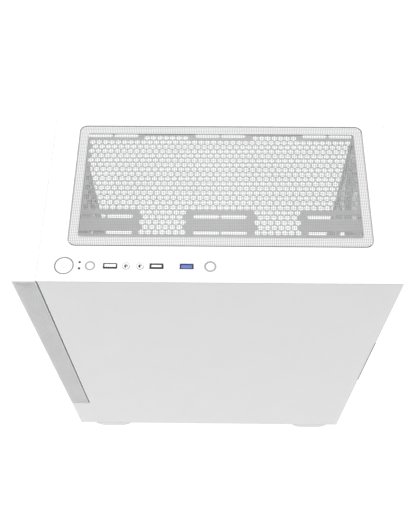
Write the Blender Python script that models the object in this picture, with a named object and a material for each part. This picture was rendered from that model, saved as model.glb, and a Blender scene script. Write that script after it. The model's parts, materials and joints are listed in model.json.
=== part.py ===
"""Desktop computer tower: a steel mid-tower case with a glass side, and the computer inside it.

Every size below is in millimetres. The mesh helpers turn them into metres.
+Z is up, the front looks along -Y, and the plain steel side panel is on +X.
The origin is at the middle of the footprint, on the surface the tower stands on.
"""

import math

import bmesh
import bpy
from mathutils import Matrix, Vector

MM = 0.001
QUARTER = math.pi / 2

# Outer size of the case
WIDTH = 210.0
DEPTH = 388.0
BODY = 467.0
FOOT = 16.5
SCREW_HEAD = 2.8

# Sheet metal, plastic and running gaps
SHEET = 0.8
GLASS = 4.0
GAP = 0.3

# Outer planes
SIDE = WIDTH / 2
FRONT = -(DEPTH + SCREW_HEAD) / 2
REAR = FRONT + DEPTH
BASE = FOOT
TOP = FOOT + BODY

# Front bezel
BEZEL_BACK = FRONT + 25.2
CASE_FRONT = FRONT + 26.2
CAP = 3.0
CHIN_TOP = BASE + 91.5
BEZEL_WALL = 3.0
MESH_WALL = 1.2
CORNER = 3.0

# Chassis: how far the fixed steel reaches sideways inside the two side panels
INNER_RIGHT = 97.7
INNER_LEFT = -99.5
TRAY = 80.0
TRAY_TOP = 462.0
SHROUD_TOP = 117.4

# Top vent and its filter
FILTER_X = (-89.0, 63.0)
FILTER_Y = (FRONT + 53.5, FRONT + 362.5)
FILTER_RADIUS = 7.0
FILTER_BORDER_X = 9.8
FILTER_BORDER_Y = 8.8
RECESS_GAP = 1.0
RECESS_DEPTH = 2.4
VENT_SLOT = (27.0, 4.5)
VENT_SLOT_PITCH = 28.4
VENT_SLOT_CENTRES_Y = [FRONT + u for u in (89.5, 207.5, 325.5)]
VENT_SLOT_ROWS_X = [SIDE - w for w in (58.6, 78.3, 183.2)]

# Front controls, along the strip beside the vent
STRIP_X = SIDE - 18.0
POWER_Y = FRONT + 52.0
LED_Y = FRONT + 67.4
LED_X = (SIDE - 22.0, SIDE - 15.0)
RESET_Y = FRONT + 78.1
USB_FRONT_Y = FRONT + 98.2
MIC_Y = FRONT + 114.0
HEADPHONE_Y = FRONT + 128.1
USB_REAR_Y = FRONT + 144.4
USB3_Y = FRONT + 174.5
LIGHT_Y = FRONT + 198.1
POWER_RADIUS = 8.9
RESET_RADIUS = 4.4
LIGHT_RADIUS = 4.9
BUTTON_GAP = 1.0
IO_BOARD_TOP = TOP - 14.0

# Fans
FAN = 120.0
FAN_DEPTH = 25.0
FAN_BORE = 58.0
FAN_HOLE = 52.5
FRONT_FANS_Z = (178.0, 299.0, 420.0)
REAR_FAN = (-36.0, 405.0)

# Motherboard (ATX) and what sits on it
BOARD_FACE = 72.1
BOARD_THICK = 1.6
BOARD_Y = (REAR - SHEET - 1.4 - 244.0, REAR - SHEET - 1.4)
BOARD_Z = (128.0, 433.0)
CPU = (105.0, 350.0)
IO_WINDOW_X = (29.8, 74.3)
IO_WINDOW_Z = (272.3, 431.0)
SLOT_PITCH = 20.32

# Power supply (ATX)
PSU_X = (-72.0, 78.0)
PSU_Y = (48.9, REAR - SHEET - GAP)
PSU_Z = (20.3, 106.3)

# Side panels
PANEL_FRONT = CASE_FRONT + GAP
PANEL_REAR = REAR + GAP + SHEET
PANEL_Z = (BASE + GAP, TOP - SHEET - GAP)
FLANGE = 14.0
SCREW_X = 97.0
SCREW_Z = (40.0, 471.0)
GRIP_Z = (212.5, 335.5)
GRIP_NOTCH = 1.6


# ---------------------------------------------------------------- mesh helpers


def tidy(mesh):
    """Joins doubled corners and turns every face outwards."""
    work = bmesh.new()
    work.from_mesh(mesh)
    bmesh.ops.remove_doubles(work, verts=work.verts, dist=1e-7)
    bmesh.ops.recalc_face_normals(work, faces=work.faces)
    work.to_mesh(mesh)
    work.free()
    return mesh


def box(x, y, z):
    """A block between two values along each axis."""
    work = bmesh.new()
    bmesh.ops.create_cube(work, size=1.0)
    size = [(high - low) * MM for low, high in (x, y, z)]
    middle = [(high + low) / 2 * MM for low, high in (x, y, z)]
    bmesh.ops.transform(
        work,
        verts=work.verts,
        matrix=Matrix.Translation(middle) @ Matrix.Diagonal(size + [1.0]),
    )
    mesh = bpy.data.meshes.new("box")
    work.to_mesh(mesh)
    work.free()
    return mesh


def facing(normal):
    """The turn that lays a flat outline's two axes and its normal along row axes."""
    across, up = {"X": ("Y", "Z"), "Y": ("X", "Z"), "Z": ("X", "Y")}[normal]
    axes = {"X": Vector((1, 0, 0)), "Y": Vector((0, 1, 0)), "Z": Vector((0, 0, 1))}
    return Matrix((axes[across], axes[up], axes[normal])).transposed().to_4x4()


def plate(outline, low, high, normal="Z", holes=()):
    """A flat piece from low to high along its normal, with holes right through it."""
    mesh = pierced(outline, high - low, holes) if holes else prism(outline, high - low)
    lift = Matrix.Translation((0, 0, (high + low) / 2 * MM))
    mesh.transform(facing(normal) @ lift)
    return tidy(mesh)


def prism(outline, height):
    """An outline raised by height, half below z = 0 and half above."""
    work = bmesh.new()
    ends = []
    for z in (-height / 2, height / 2):
        ring = [work.verts.new((across * MM, up * MM, z * MM)) for across, up in outline]
        work.faces.new(ring)
        ends.append(ring)
    bottom, top = ends
    for i in range(len(outline)):
        j = (i + 1) % len(outline)
        work.faces.new((bottom[i], bottom[j], top[j], top[i]))
    mesh = bpy.data.meshes.new("prism")
    work.to_mesh(mesh)
    work.free()
    return mesh


def pierced(outline, height, holes):
    """An outline with holes in it, raised by height, half below z = 0 and half above."""
    curve = bpy.data.curves.new("outline", "CURVE")
    curve.dimensions = "2D"
    curve.fill_mode = "BOTH"
    curve.extrude = height / 2 * MM
    for loop in [outline, *holes]:
        spline = curve.splines.new("POLY")
        spline.points.add(len(loop) - 1)
        for point, (across, up) in zip(spline.points, loop):
            point.co = (across * MM, up * MM, 0, 1)
        spline.use_cyclic_u = True
    holder = bpy.data.objects.new("outline", curve)
    mesh = bpy.data.meshes.new_from_object(holder)
    bpy.data.objects.remove(holder)
    bpy.data.curves.remove(curve)
    return mesh


def arc(centre, radius, start, stop, steps):
    """Points along an arc, with the angles in degrees."""
    turns = [math.radians(start + (stop - start) * i / steps) for i in range(steps + 1)]
    return [(centre[0] + radius * math.cos(t), centre[1] + radius * math.sin(t)) for t in turns]


def circle(centre, radius, steps=20):
    return arc(centre, radius, 0, 360, steps)[:-1]


def rectangle(across, up, radius=0.0, steps=3):
    """A rectangle between two pairs of values, with rounded corners if radius is given."""
    if radius <= 0:
        return [(across[0], up[0]), (across[1], up[0]), (across[1], up[1]), (across[0], up[1])]
    corners = [
        ((across[1] - radius, up[0] + radius), -90),
        ((across[1] - radius, up[1] - radius), 0),
        ((across[0] + radius, up[1] - radius), 90),
        ((across[0] + radius, up[0] + radius), 180),
    ]
    return [p for centre, turn in corners for p in arc(centre, radius, turn, turn + 90, steps)]


def cylinder(centre, radius, low, high, normal="Z", steps=20):
    return plate(circle(centre, radius, steps), low, high, normal)


def around(centre, half_across, half_up, radius=0.0, steps=3):
    """A rectangle's outline about its centre."""
    return rectangle(
        (centre[0] - half_across, centre[0] + half_across),
        (centre[1] - half_up, centre[1] + half_up),
        radius,
        steps,
    )


def joined(meshes):
    """One mesh that holds several separate closed bodies."""
    work = bmesh.new()
    for mesh in meshes:
        work.from_mesh(mesh)
    whole = bpy.data.meshes.new("joined")
    work.to_mesh(whole)
    work.free()
    return whole


def combine(mesh, others, operation):
    """The mesh with the others added to it or cut out of it."""
    collection = bpy.context.scene.collection
    piece = bpy.data.objects.new("piece", mesh)
    tool = bpy.data.objects.new("tool", joined(others))
    for made in (piece, tool):
        collection.objects.link(made)
    boolean = piece.modifiers.new("boolean", "BOOLEAN")
    boolean.operation = operation
    boolean.solver = "EXACT"
    boolean.object = tool
    bpy.context.view_layer.update()
    seen = piece.evaluated_get(bpy.context.evaluated_depsgraph_get())
    result = bpy.data.meshes.new_from_object(seen)
    for made in (piece, tool):
        bpy.data.objects.remove(made)
    return tidy(result)


def cut(mesh, *others):
    return combine(mesh, others, "DIFFERENCE")


def add(mesh, *others):
    """The union, one piece at a time, so that the added pieces may touch each other."""
    for other in others:
        mesh = combine(mesh, [other], "UNION")
    return mesh


def softened(mesh, width, angle=40.0, segments=2):
    """The mesh with its sharp edges bevelled by width."""
    work = bmesh.new()
    work.from_mesh(mesh)
    bmesh.ops.dissolve_limit(
        work, angle_limit=math.radians(1.0), verts=work.verts, edges=work.edges
    )
    sharp = [e for e in work.edges if e.calc_face_angle(0) > math.radians(angle)]
    bmesh.ops.bevel(
        work,
        geom=sharp,
        offset=width * MM,
        segments=segments,
        profile=0.5,
        affect="EDGES",
        clamp_overlap=True,
    )
    work.to_mesh(mesh)
    work.free()
    return mesh


# ---------------------------------------------------------------- materials and objects

LOOKS = {
    "white_steel": ((0.86, 0.86, 0.87), 0.42, 0.0),
    "white_plastic": ((0.88, 0.88, 0.88), 0.45, 0.0),
    "mesh_white": ((0.72, 0.72, 0.73), 0.55, 0.0),
    "glass": ((0.80, 0.85, 0.85), 0.03, 0.0),
    "rubber": ((0.55, 0.55, 0.56), 0.85, 0.0),
    "black_plastic": ((0.02, 0.02, 0.02), 0.4, 0.0),
    "blue_plastic": ((0.10, 0.18, 0.65), 0.4, 0.0),
    "steel": ((0.70, 0.70, 0.72), 0.3, 1.0),
    "aluminium": ((0.82, 0.83, 0.85), 0.35, 1.0),
    "board": ((0.80, 0.81, 0.82), 0.5, 0.0),
    "frost": ((0.90, 0.92, 0.95), 0.3, 0.0),
}


def material(name, look):
    """A material of the piece's own, from the table of looks."""
    colour, roughness, metallic = LOOKS[look]
    made = bpy.data.materials.new(name)
    made.use_nodes = True
    shader = made.node_tree.nodes["Principled BSDF"]
    shader.inputs["Base Color"].default_value = (*colour, 1.0)
    shader.inputs["Roughness"].default_value = roughness
    shader.inputs["Metallic"].default_value = metallic
    if look == "glass":
        shader.inputs["Transmission Weight"].default_value = 1.0
    return made


def place(name, mesh, look, origin=(0.0, 0.0, 0.0), turn=None):
    """Puts a mesh in the scene as one named piece, with its origin where asked.

    A mesh with no turn is already where it belongs, so it is shifted back by the origin.
    A mesh with a turn was made about its own origin, and is turned and moved into place.
    """
    spot = Vector(origin) * MM
    if turn is None:
        mesh.transform(Matrix.Translation(-spot))
    made = bpy.data.objects.new(name, mesh)
    made.location = spot
    if turn is not None:
        made.rotation_euler = turn
    made.data.materials.clear()
    made.data.materials.append(material(name, look))
    made.data.shade_smooth()
    made.data.set_sharp_from_angle(angle=math.radians(35))
    bpy.context.scene.collection.objects.link(made)
    return made


# ---------------------------------------------------------------- outer shell


def vent_slots(z_low, z_high):
    """The pairs of fan mounting slots in the vent, as cutters."""
    length, height = VENT_SLOT
    slots = []
    for x in VENT_SLOT_ROWS_X:
        for middle in VENT_SLOT_CENTRES_Y:
            for side in (-1, 1):
                centre = (x, middle + side * VENT_SLOT_PITCH / 2)
                loop = around(centre, height / 2, length / 2, height / 2 - 0.01, 2)
                slots.append(plate(loop, z_low, z_high))
    return slots


def port_holes(z_low, z_high):
    """The holes for the buttons, lights and sockets of the control strip."""
    holes = [
        circle((STRIP_X, POWER_Y), POWER_RADIUS + BUTTON_GAP, 28),
        circle((STRIP_X, RESET_Y), RESET_RADIUS + BUTTON_GAP * 0.8, 16),
        circle((STRIP_X, LIGHT_Y), LIGHT_RADIUS + BUTTON_GAP * 1.2, 18),
    ]
    holes += [circle((x, LED_Y), 1.3, 8) for x in LED_X]
    holes += [circle((STRIP_X, y), 4.0, 14) for y in (MIC_Y, HEADPHONE_Y)]
    for y in (USB_FRONT_Y, USB_REAR_Y, USB3_Y):
        holes.append(around((STRIP_X, y), 3.2, 7.2, 0.6, 1))
    return [plate(loop, z_low, z_high) for loop in holes]


def top_panel():
    """The top sheet, with the shallow pan that the filter lies in."""
    sheet = plate(rectangle((-SIDE, SIDE), (CASE_FRONT, REAR)), TOP - SHEET, TOP)
    recess_x = (FILTER_X[0] - RECESS_GAP, FILTER_X[1] + RECESS_GAP)
    recess_y = (FILTER_Y[0] - RECESS_GAP, FILTER_Y[1] + RECESS_GAP)
    radius = FILTER_RADIUS + RECESS_GAP
    pan_x = (recess_x[0] - SHEET, recess_x[1] + SHEET)
    pan_y = (recess_y[0] - SHEET, recess_y[1] + SHEET)
    pan = rectangle(pan_x, pan_y, radius + SHEET, 5)
    floor = TOP - RECESS_DEPTH
    sheet = add(sheet, plate(pan, floor - SHEET, TOP - SHEET / 2))
    sheet = cut(sheet, plate(rectangle(recess_x, recess_y, radius, 5), floor, TOP + 5))
    sheet = cut(sheet, *vent_slots(floor - 5, floor + 5), *port_holes(TOP - 5, TOP + 5))
    place("top_panel", sheet, "white_steel")


def bezel_outline(back):
    """The bezel's plan: square behind, with its two front corners rounded."""
    left = arc((-SIDE + CORNER, FRONT + CORNER), CORNER, 180, 270, 4)
    right = arc((SIDE - CORNER, FRONT + CORNER), CORNER, 270, 360, 4)
    return [(-SIDE, back), *left, *right, (SIDE, back)]


PEGS = [(x, z) for x in (-88.0, 88.0) for z in (60.0, 270.0, 462.0)]
LINER_X = (101.2, 102.8)


def front_bezel():
    """The plastic front: a cap, a chin, a rear frame and two side liners behind the mesh, with snap pegs."""
    plan = bezel_outline(BEZEL_BACK)
    body = plate(plan, BASE, CHIN_TOP)
    body = cut(
        body,
        box(
            (-SIDE + BEZEL_WALL, SIDE - BEZEL_WALL),
            (FRONT + BEZEL_WALL, BEZEL_BACK + 5),
            (BASE + BEZEL_WALL, CHIN_TOP - BEZEL_WALL),
        ),
    )
    frame = plate(
        rectangle((-SIDE + 1.6, SIDE - 1.6), (CHIN_TOP - 2.0, TOP - 1.5)),
        BEZEL_BACK - 4.4,
        BEZEL_BACK - 0.4,
        "Y",
        [rectangle((-80.0, 80.0), (CHIN_TOP + 4.0, TOP - CAP - 6.5), 4.0)],
    )
    body = add(body, plate(plan, TOP - CAP, TOP), frame)
    for side in (-1, 1):
        liner = sorted((side * LINER_X[0], side * LINER_X[1]))
        liner_z = (CHIN_TOP - 1.0, TOP - CAP + 0.5)
        body = add(body, box(liner, (FRONT + 4.5, BEZEL_BACK - 0.8), liner_z))
    pegs = []
    for x, z in PEGS:
        root = FRONT + BEZEL_WALL / 2 if z < CHIN_TOP else BEZEL_BACK - 2.0
        pegs.append(cylinder((x, z), 2.7, root, CASE_FRONT + 7.0, "Y", 8))
    place("front_bezel", combine(body, pegs, "UNION"), "white_plastic")


def front_mesh():
    """The air mesh, bent into a U around the front and both sides of the bezel."""
    back = BEZEL_BACK - 1.1
    inner = CORNER - MESH_WALL
    left = arc((-SIDE + CORNER, FRONT + CORNER), CORNER, 180, 270, 4)
    right = arc((SIDE - CORNER, FRONT + CORNER), CORNER, 270, 360, 4)
    left_in = arc((-SIDE + CORNER, FRONT + CORNER), inner, 270, 180, 4)
    right_in = arc((SIDE - CORNER, FRONT + CORNER), inner, 360, 270, 4)
    loop = [(-SIDE, back), *left, *right, (SIDE, back), (SIDE - MESH_WALL, back), *right_in, *left_in]
    loop.append((-SIDE + MESH_WALL, back))
    place("front_mesh", plate(loop, CHIN_TOP + GAP, TOP - CAP - GAP), "mesh_white")


def right_side_panel():
    """The plain steel side: a folded sheet that slides off to the rear."""
    hem = 98.0
    loop = [
        (hem, PANEL_FRONT),
        (SIDE, PANEL_FRONT),
        (SIDE, PANEL_REAR),
        (SIDE - FLANGE, PANEL_REAR),
        (SIDE - FLANGE, PANEL_REAR - SHEET),
        (SIDE - SHEET, PANEL_REAR - SHEET),
        (SIDE - SHEET, PANEL_FRONT + SHEET),
        (hem, PANEL_FRONT + SHEET),
    ]
    panel = plate(loop, *PANEL_Z)
    for low in (PANEL_Z[0] + 0.2, PANEL_Z[1] - SHEET - 0.2):
        fold = box((hem + 0.5, SIDE - SHEET / 2), (PANEL_FRONT + 0.4, PANEL_REAR - 0.4), (low, low + SHEET))
        panel = add(panel, fold)
    grip = box((SIDE - FLANGE - 1, SIDE + 1), (PANEL_REAR - GRIP_NOTCH, REAR + 5), GRIP_Z)
    holes = [cylinder((SCREW_X, z), 2.1, REAR - 5, REAR + 5, "Y", 12) for z in SCREW_Z]
    place("right_side_panel", cut(panel, grip, *holes), "white_steel", (0.0, REAR, 250.0))


GLASS_REAR = REAR - 12.0


def left_panel():
    """The glass side and the steel rail bonded to its rear edge."""
    loop = rectangle((PANEL_FRONT, GLASS_REAR), (PANEL_Z[0], PANEL_Z[1]), 2.0, 3)
    pane = softened(plate(loop, -SIDE, -SIDE + GLASS, "X"), 0.4, segments=1)
    place("left_glass", pane, "glass", (0.0, REAR, 250.0))
    web = GLASS_REAR + GAP
    leg = -SIDE + GLASS + GAP
    loop = [
        (-SIDE, web),
        (leg, web),
        (leg, web - 18.0),
        (leg + SHEET, web - 18.0),
        (leg + SHEET, web + SHEET),
        (-SIDE + SHEET, web + SHEET),
        (-SIDE + SHEET, PANEL_REAR - SHEET),
        (-SIDE + FLANGE, PANEL_REAR - SHEET),
        (-SIDE + FLANGE, PANEL_REAR),
        (-SIDE, PANEL_REAR),
    ]
    rail = plate(loop, *PANEL_Z)
    window = plate(rectangle((web + 2.4, PANEL_REAR - 2.4), GRIP_Z, 2.0), -SIDE - 1, -SIDE + 2, "X")
    rail = cut(rail, window)
    grip = box((-SIDE - 1, -SIDE + FLANGE + 1), (PANEL_REAR - GRIP_NOTCH, REAR + 5), GRIP_Z)
    holes = [cylinder((-SCREW_X, z), 2.1, REAR - 5, REAR + 5, "Y", 12) for z in SCREW_Z]
    place("left_panel_rail", cut(rail, grip, *holes), "white_steel", (0.0, REAR, 250.0))


def panel_screws():
    """The low-headed cross-recess screws that hold the two side panels."""
    seat = PANEL_REAR + GAP - REAR
    head = cylinder((0, 0), 3.9, seat, SCREW_HEAD, "Y", 20)
    shank = cylinder((0, 0), 1.7, -6.0, seat + 0.25, "Y", 10)
    arm = 0.45
    reach = 2.1
    cross = []
    for i in range(4):
        turn = QUARTER * i
        for across, along in ((-arm, reach), (arm, reach), (arm, arm)):
            cross.append(
                (
                    across * math.cos(turn) + along * math.sin(turn),
                    along * math.cos(turn) - across * math.sin(turn),
                )
            )
    head = cut(head, plate(cross, SCREW_HEAD - 0.9, SCREW_HEAD + 2, "Y"))
    screw = add(head, shank)
    for side, x in (("right", SCREW_X), ("left", -SCREW_X)):
        for end, z in zip(("lower", "upper"), SCREW_Z):
            place(f"{side}_panel_screw_{end}", screw.copy(), "steel", (x, REAR, z), (0, 0, 0))


def top_filter():
    """The magnetic dust filter: a flat frame with fine mesh across it."""
    low = TOP - RECESS_DEPTH + GAP
    high = TOP - 0.2
    window_x = (FILTER_X[0] + FILTER_BORDER_X, FILTER_X[1] - FILTER_BORDER_X)
    window_y = (FILTER_Y[0] + FILTER_BORDER_Y, FILTER_Y[1] - FILTER_BORDER_Y)
    outline = rectangle(FILTER_X, FILTER_Y, FILTER_RADIUS, 6)
    frame = plate(outline, low, high, holes=[rectangle(window_x, window_y, 3.0)])
    middle = (sum(FILTER_X) / 2, sum(FILTER_Y) / 2, TOP)
    place("top_filter_frame", frame, "white_plastic", middle)
    inner_x = (window_x[0] + GAP, window_x[1] - GAP)
    inner_y = (window_y[0] + GAP, window_y[1] - GAP)
    screen = plate(rectangle(inner_x, inner_y, 2.7), low + 0.6, low + 1.1)
    place("top_filter_mesh", screen, "mesh_white", middle)


# ---------------------------------------------------------------- chassis


FILTER_RAIL_X = (-63.4, 68.4)


def chassis_floor():
    """The bottom sheet, with the power supply's intake slots and the filter's two guide rails."""
    slots = []
    for i in range(9):
        centre = (sum(PSU_X) / 2, 62.0 + 12.0 * i)
        slots.append(around(centre, 52.0, 2.25, 2.24, 2))
    outline = rectangle((-INNER_RIGHT, INNER_RIGHT), (CASE_FRONT + 1.2, REAR - SHEET - GAP))
    floor = plate(outline, BASE, BASE + SHEET, holes=slots)
    for side in (-1, 1):
        outer = side * INNER_RIGHT
        web = sorted((outer - side * 0.2, outer - side * 1.0))
        floor = add(floor, box(web, (CASE_FRONT + 2.0, REAR - 2.0), (BASE + 0.4, BASE + 11.0)))
    for x, lip in ((FILTER_RAIL_X[0], 4.0), (FILTER_RAIL_X[1], -4.0)):
        web = box((x, x + 1.0), (36.0, 187.0), (BASE - 3.9, BASE + 0.4))
        reach = sorted((x + 0.5, x + 0.5 + lip))
        floor = add(floor, web, box(reach, (37.0, 186.0), (BASE - 3.7, BASE - 3.0)))
    place("chassis_floor", floor, "white_steel")


def psu_filter():
    """The slide-out dust filter under the power supply."""
    high = BASE - GAP
    outline = rectangle((FILTER_RAIL_X[0] + 1.4, FILTER_RAIL_X[1] - 0.4), (38.0, 184.0), 2.0)
    tray = plate(outline, high - 2.2, high)
    tray = cut(tray, plate(rectangle((-55.0, 61.0), (46.0, 176.0), 2.0), high - 5, high - 0.7))
    tab = box((-20.0, 25.0), (182.0, REAR - 0.5), (high - 2.0, high - 0.4))
    grip = box((-20.4, 25.4), (REAR - 1.2, REAR), (high - 4.6, high - 0.2))
    place("psu_filter", add(tray, tab, grip), "white_plastic", (2.5, REAR, high))


def feet():
    """Four tapered feet, each with a rubber pad under it."""
    half_x = 13.0
    for end, y in (("front", FRONT + 50.0), ("rear", FRONT + 347.5)):
        for side, x in (("right", 92.0), ("left", -92.0)):
            high = BASE - GAP
            loop = [(y - 26.0, high), (y - 18.0, 4.0)]
            loop += arc((y - 14.5, 5.3), 3.0, 205, 270, 3)
            loop += arc((y + 14.5, 5.3), 3.0, 270, 335, 3)
            loop += [(y + 18.0, 4.0), (y + 26.0, high)]
            shape = plate(loop, x - half_x, x + half_x, "X")
            place(f"foot_{end}_{side}", softened(shape, 0.8, segments=1), "white_plastic")
            pad = plate(around((x, y), 10.0, 13.5, 2.0), 0.0, 2.0)
            place(f"foot_pad_{end}_{side}", pad, "rubber")


def front_frame():
    """The inner steel front that carries the fans."""
    outline = rectangle((INNER_LEFT, INNER_RIGHT), (BASE + SHEET + GAP, TOP - SHEET - GAP))
    holes = [circle((0.0, z), FAN_BORE - 1.0, 28) for z in FRONT_FANS_Z]
    for z in FRONT_FANS_Z:
        for dx in (-FAN_HOLE, FAN_HOLE):
            holes += [circle((dx, z + dz), 2.3, 6) for dz in (-FAN_HOLE, FAN_HOLE)]
    holes += [circle(peg, 3.3, 8) for peg in PEGS]
    wall = plate(outline, CASE_FRONT, CASE_FRONT + SHEET, "Y", holes)
    for edge, side in ((INNER_LEFT, 1), (INNER_RIGHT, -1)):
        web = sorted((edge + side * 0.2, edge + side * 1.0))
        wall = add(wall, box(web, (CASE_FRONT + 0.4, CASE_FRONT + 14.0), (122.0, TOP - 6.0)))
    place("front_frame", wall, "white_steel")


def rear_panel():
    """The steel back, with windows for the ports, the card slots and the power supply."""
    low = BASE + SHEET + GAP
    high = TOP - SHEET - GAP
    edge = SIDE - SHEET - GAP
    notch = 97.5
    grip = 89.5
    loop = [
        (INNER_LEFT, high),
        (INNER_LEFT, GRIP_Z[1] + 1),
        (-grip, GRIP_Z[1] + 1),
        (-grip, GRIP_Z[0] - 1),
        (INNER_LEFT, GRIP_Z[0] - 1),
        (INNER_LEFT, low),
        (notch, low),
        (notch, low + 2.0),
        (edge, low + 2.0),
        (edge, GRIP_Z[0] - 1),
        (grip, GRIP_Z[0] - 1),
        (grip, GRIP_Z[1] + 1),
        (edge, GRIP_Z[1] + 1),
        (edge, high - 2.0),
        (notch, high - 2.0),
        (notch, high),
    ]
    holes = [rectangle(IO_WINDOW_X, IO_WINDOW_Z)]
    psu = (sum(PSU_X) / 2, sum(PSU_Z) / 2)
    holes.append(around(psu, 62.0, 39.0, 3.0))
    holes += [circle((psu[0] + sx * 69.0, psu[1] + sz * 32.0), 2.0, 6) for sx in (-1, 1) for sz in (-1, 1)]
    for sx in (-1, 1):
        for sz in (-1, 1):
            centre = (REAR_FAN[0] + sx * FAN_HOLE, REAR_FAN[1] + sz * FAN_HOLE)
            holes.append(circle(centre, 2.3, 6))
    holes += [circle((x, z), 2.1, 12) for x in (-SCREW_X, SCREW_X) for z in SCREW_Z]
    for i in range(7):
        z = 256.0 - SLOT_PITCH * i
        holes += [rectangle((-36.0, 70.0), (z + dz, z + dz + 1.4)) for dz in (-8.4, 7.0)]
    place("rear_panel", plate(loop, REAR - SHEET, REAR, "Y", holes), "white_steel")


DRIVE_WINDOW = ((-157.0, -45.0), (21.0, 91.0))
PSU_WINDOW = ((-32.0, 40.0), (26.0, 108.0))
CPU_WINDOW = ((42.0, 166.0), (288.0, 412.0))
CABLE_WINDOW_Y = (-112.0, -80.0)


def motherboard_tray():
    """The upright sheet that carries the motherboard, with cable windows and standoffs."""
    low = BASE + SHEET + GAP
    high = TOP - SHEET - GAP
    front = CASE_FRONT + SHEET + GAP
    back = REAR - SHEET - GAP
    loop = [(front, low), (back, low), (back, TRAY_TOP)]
    for y in (174.0, 38.0):
        loop += [(y + 12.0, TRAY_TOP), (y + 12.0, high), (y - 12.0, high), (y - 12.0, TRAY_TOP)]
    loop.append((front, TRAY_TOP))
    windows = [
        DRIVE_WINDOW,
        PSU_WINDOW,
        CPU_WINDOW,
        (CABLE_WINDOW_Y, (132.0, 218.0)),
        (CABLE_WINDOW_Y, (307.0, 398.0)),
        ((-30.0, 20.0), (438.0, 454.0)),
    ]
    holes = [rectangle(across, up, 1.5, 1) for across, up in windows]
    sheet = plate(loop, TRAY, TRAY + SHEET, "X", holes)
    posts = []
    for y in (BOARD_Y[0] + 16.0, BOARD_Y[0] + 120.0, BOARD_Y[1] - 12.0):
        for z in (BOARD_Z[0] + 7.0, BOARD_Z[0] + 135.0, BOARD_Z[1] - 10.0):
            posts.append(cylinder((y, z), 3.0, BOARD_FACE + BOARD_THICK + GAP, TRAY + 0.4, "X", 6))
    place("motherboard_tray", combine(sheet, posts, "UNION"), "white_steel")


def psu_shroud():
    """The cover over the power supply and drives: a top and a left wall."""
    front = CASE_FRONT + SHEET + GAP
    back = REAR - 8.0
    loop = [
        (INNER_LEFT, BASE + SHEET + GAP),
        (INNER_LEFT + SHEET, BASE + SHEET + GAP),
        (INNER_LEFT + SHEET, SHROUD_TOP - SHEET),
        (TRAY - GAP, SHROUD_TOP - SHEET),
        (TRAY - GAP, SHROUD_TOP),
        (INNER_LEFT, SHROUD_TOP),
    ]
    cover = plate(loop, front, back, "Y")
    holes = [rectangle((40.0, 70.0), (y, y + 22.0), 5.0) for y in (-130.0, -40.0)]
    for i in range(8):
        holes.append(around((-20.0, 60.0 + 14.0 * i), 45.0, 2.5, 2.49, 2))
    cutters = [plate(hole, SHROUD_TOP - 5, SHROUD_TOP + 5) for hole in holes]
    place("psu_shroud", cut(cover, *cutters), "white_steel")


CAGE_Y = (-156.0, -46.0)
CAGE_X = (-72.0, TRAY - 0.6)
BAYS_Z = (21.2, 54.0)


def drive_cage():
    """The cage for two drives, open towards the steel side panel."""
    low = BASE + SHEET + GAP
    high = 88.0
    loop = [
        (CAGE_Y[0], low),
        (CAGE_Y[0] + SHEET, low),
        (CAGE_Y[0] + SHEET, high - SHEET),
        (CAGE_Y[1] - SHEET, high - SHEET),
        (CAGE_Y[1] - SHEET, low),
        (CAGE_Y[1], low),
        (CAGE_Y[1], high),
        (CAGE_Y[0], high),
    ]
    cage = plate([(y, z) for y, z in loop], *CAGE_X, "X")
    for z in BAYS_Z:
        for wall, reach in ((CAGE_Y[0] + 0.4, 6.0), (CAGE_Y[1] - 0.4, -6.0)):
            shelf = sorted((wall, wall + reach))
            cage = add(cage, box((CAGE_X[0] + 4.0, CAGE_X[1] - 4.0), shelf, (z, z + SHEET)))
    place("drive_cage", cage, "white_steel")


# ---------------------------------------------------------------- control strip


def button(name, y, radius, gap):
    """A push button: a cap in the top panel's hole, on a wider skirt, over a switch stem."""
    under = TOP - SHEET - GAP
    cap = cylinder((STRIP_X, y), radius, under - 1.5, TOP, steps=24)
    skirt = cylinder((STRIP_X, y), radius + gap + 1.0, under - 2.6, under, steps=24)
    stem = cylinder((STRIP_X, y), 2.2, IO_BOARD_TOP + 2.4, under - 2.0, steps=8)
    place(name, add(cap, skirt, stem), "white_plastic", (STRIP_X, y, TOP))


def socket_shell(name, y, look):
    """An upright USB socket: a metal shell round a tongue."""
    low = IO_BOARD_TOP + GAP
    shell = plate(around((STRIP_X, y), 2.9, 6.9, 0.4, 2), low, TOP - 0.1)
    hollow = plate(around((STRIP_X, y), 2.4, 6.3), low + 2.0, TOP + 5)
    tongue = box((STRIP_X - 0.5, STRIP_X + 1.4), (y - 5.4, y + 5.4), (low + 1.0, TOP - 0.9))
    place(name, add(cut(shell, hollow), tongue), look)


def control_strip():
    """The buttons, lights and sockets along the top, and the small board that carries them."""
    button("power_button", POWER_Y, POWER_RADIUS, BUTTON_GAP)
    button("reset_button", RESET_Y, RESET_RADIUS, BUTTON_GAP * 0.8)
    button("light_button", LIGHT_Y, LIGHT_RADIUS, BUTTON_GAP * 1.2)
    socket_shell("usb_socket_front", USB_FRONT_Y, "steel")
    socket_shell("usb_socket_rear", USB_REAR_Y, "steel")
    socket_shell("usb3_socket", USB3_Y, "blue_plastic")
    low = IO_BOARD_TOP + GAP
    for name, y in (("microphone_jack", MIC_Y), ("headphone_jack", HEADPHONE_Y)):
        jack = cylinder((STRIP_X, y), 3.7, low, TOP - 0.1, steps=16)
        bore = cylinder((STRIP_X, y), 1.8, low + 2.0, TOP + 5, steps=10)
        place(name, cut(jack, bore), "black_plastic")
    for name, x in (("power_led", LED_X[0]), ("drive_led", LED_X[1])):
        place(name, cylinder((x, LED_Y), 1.0, low, TOP, steps=8), "frost")
    board = rectangle((81.5, 97.4), (POWER_Y - 10.0, LIGHT_Y + 12.0), 1.0, 2)
    place("io_board", plate(board, IO_BOARD_TOP - 1.6, IO_BOARD_TOP), "board")


# ---------------------------------------------------------------- fans


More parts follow.
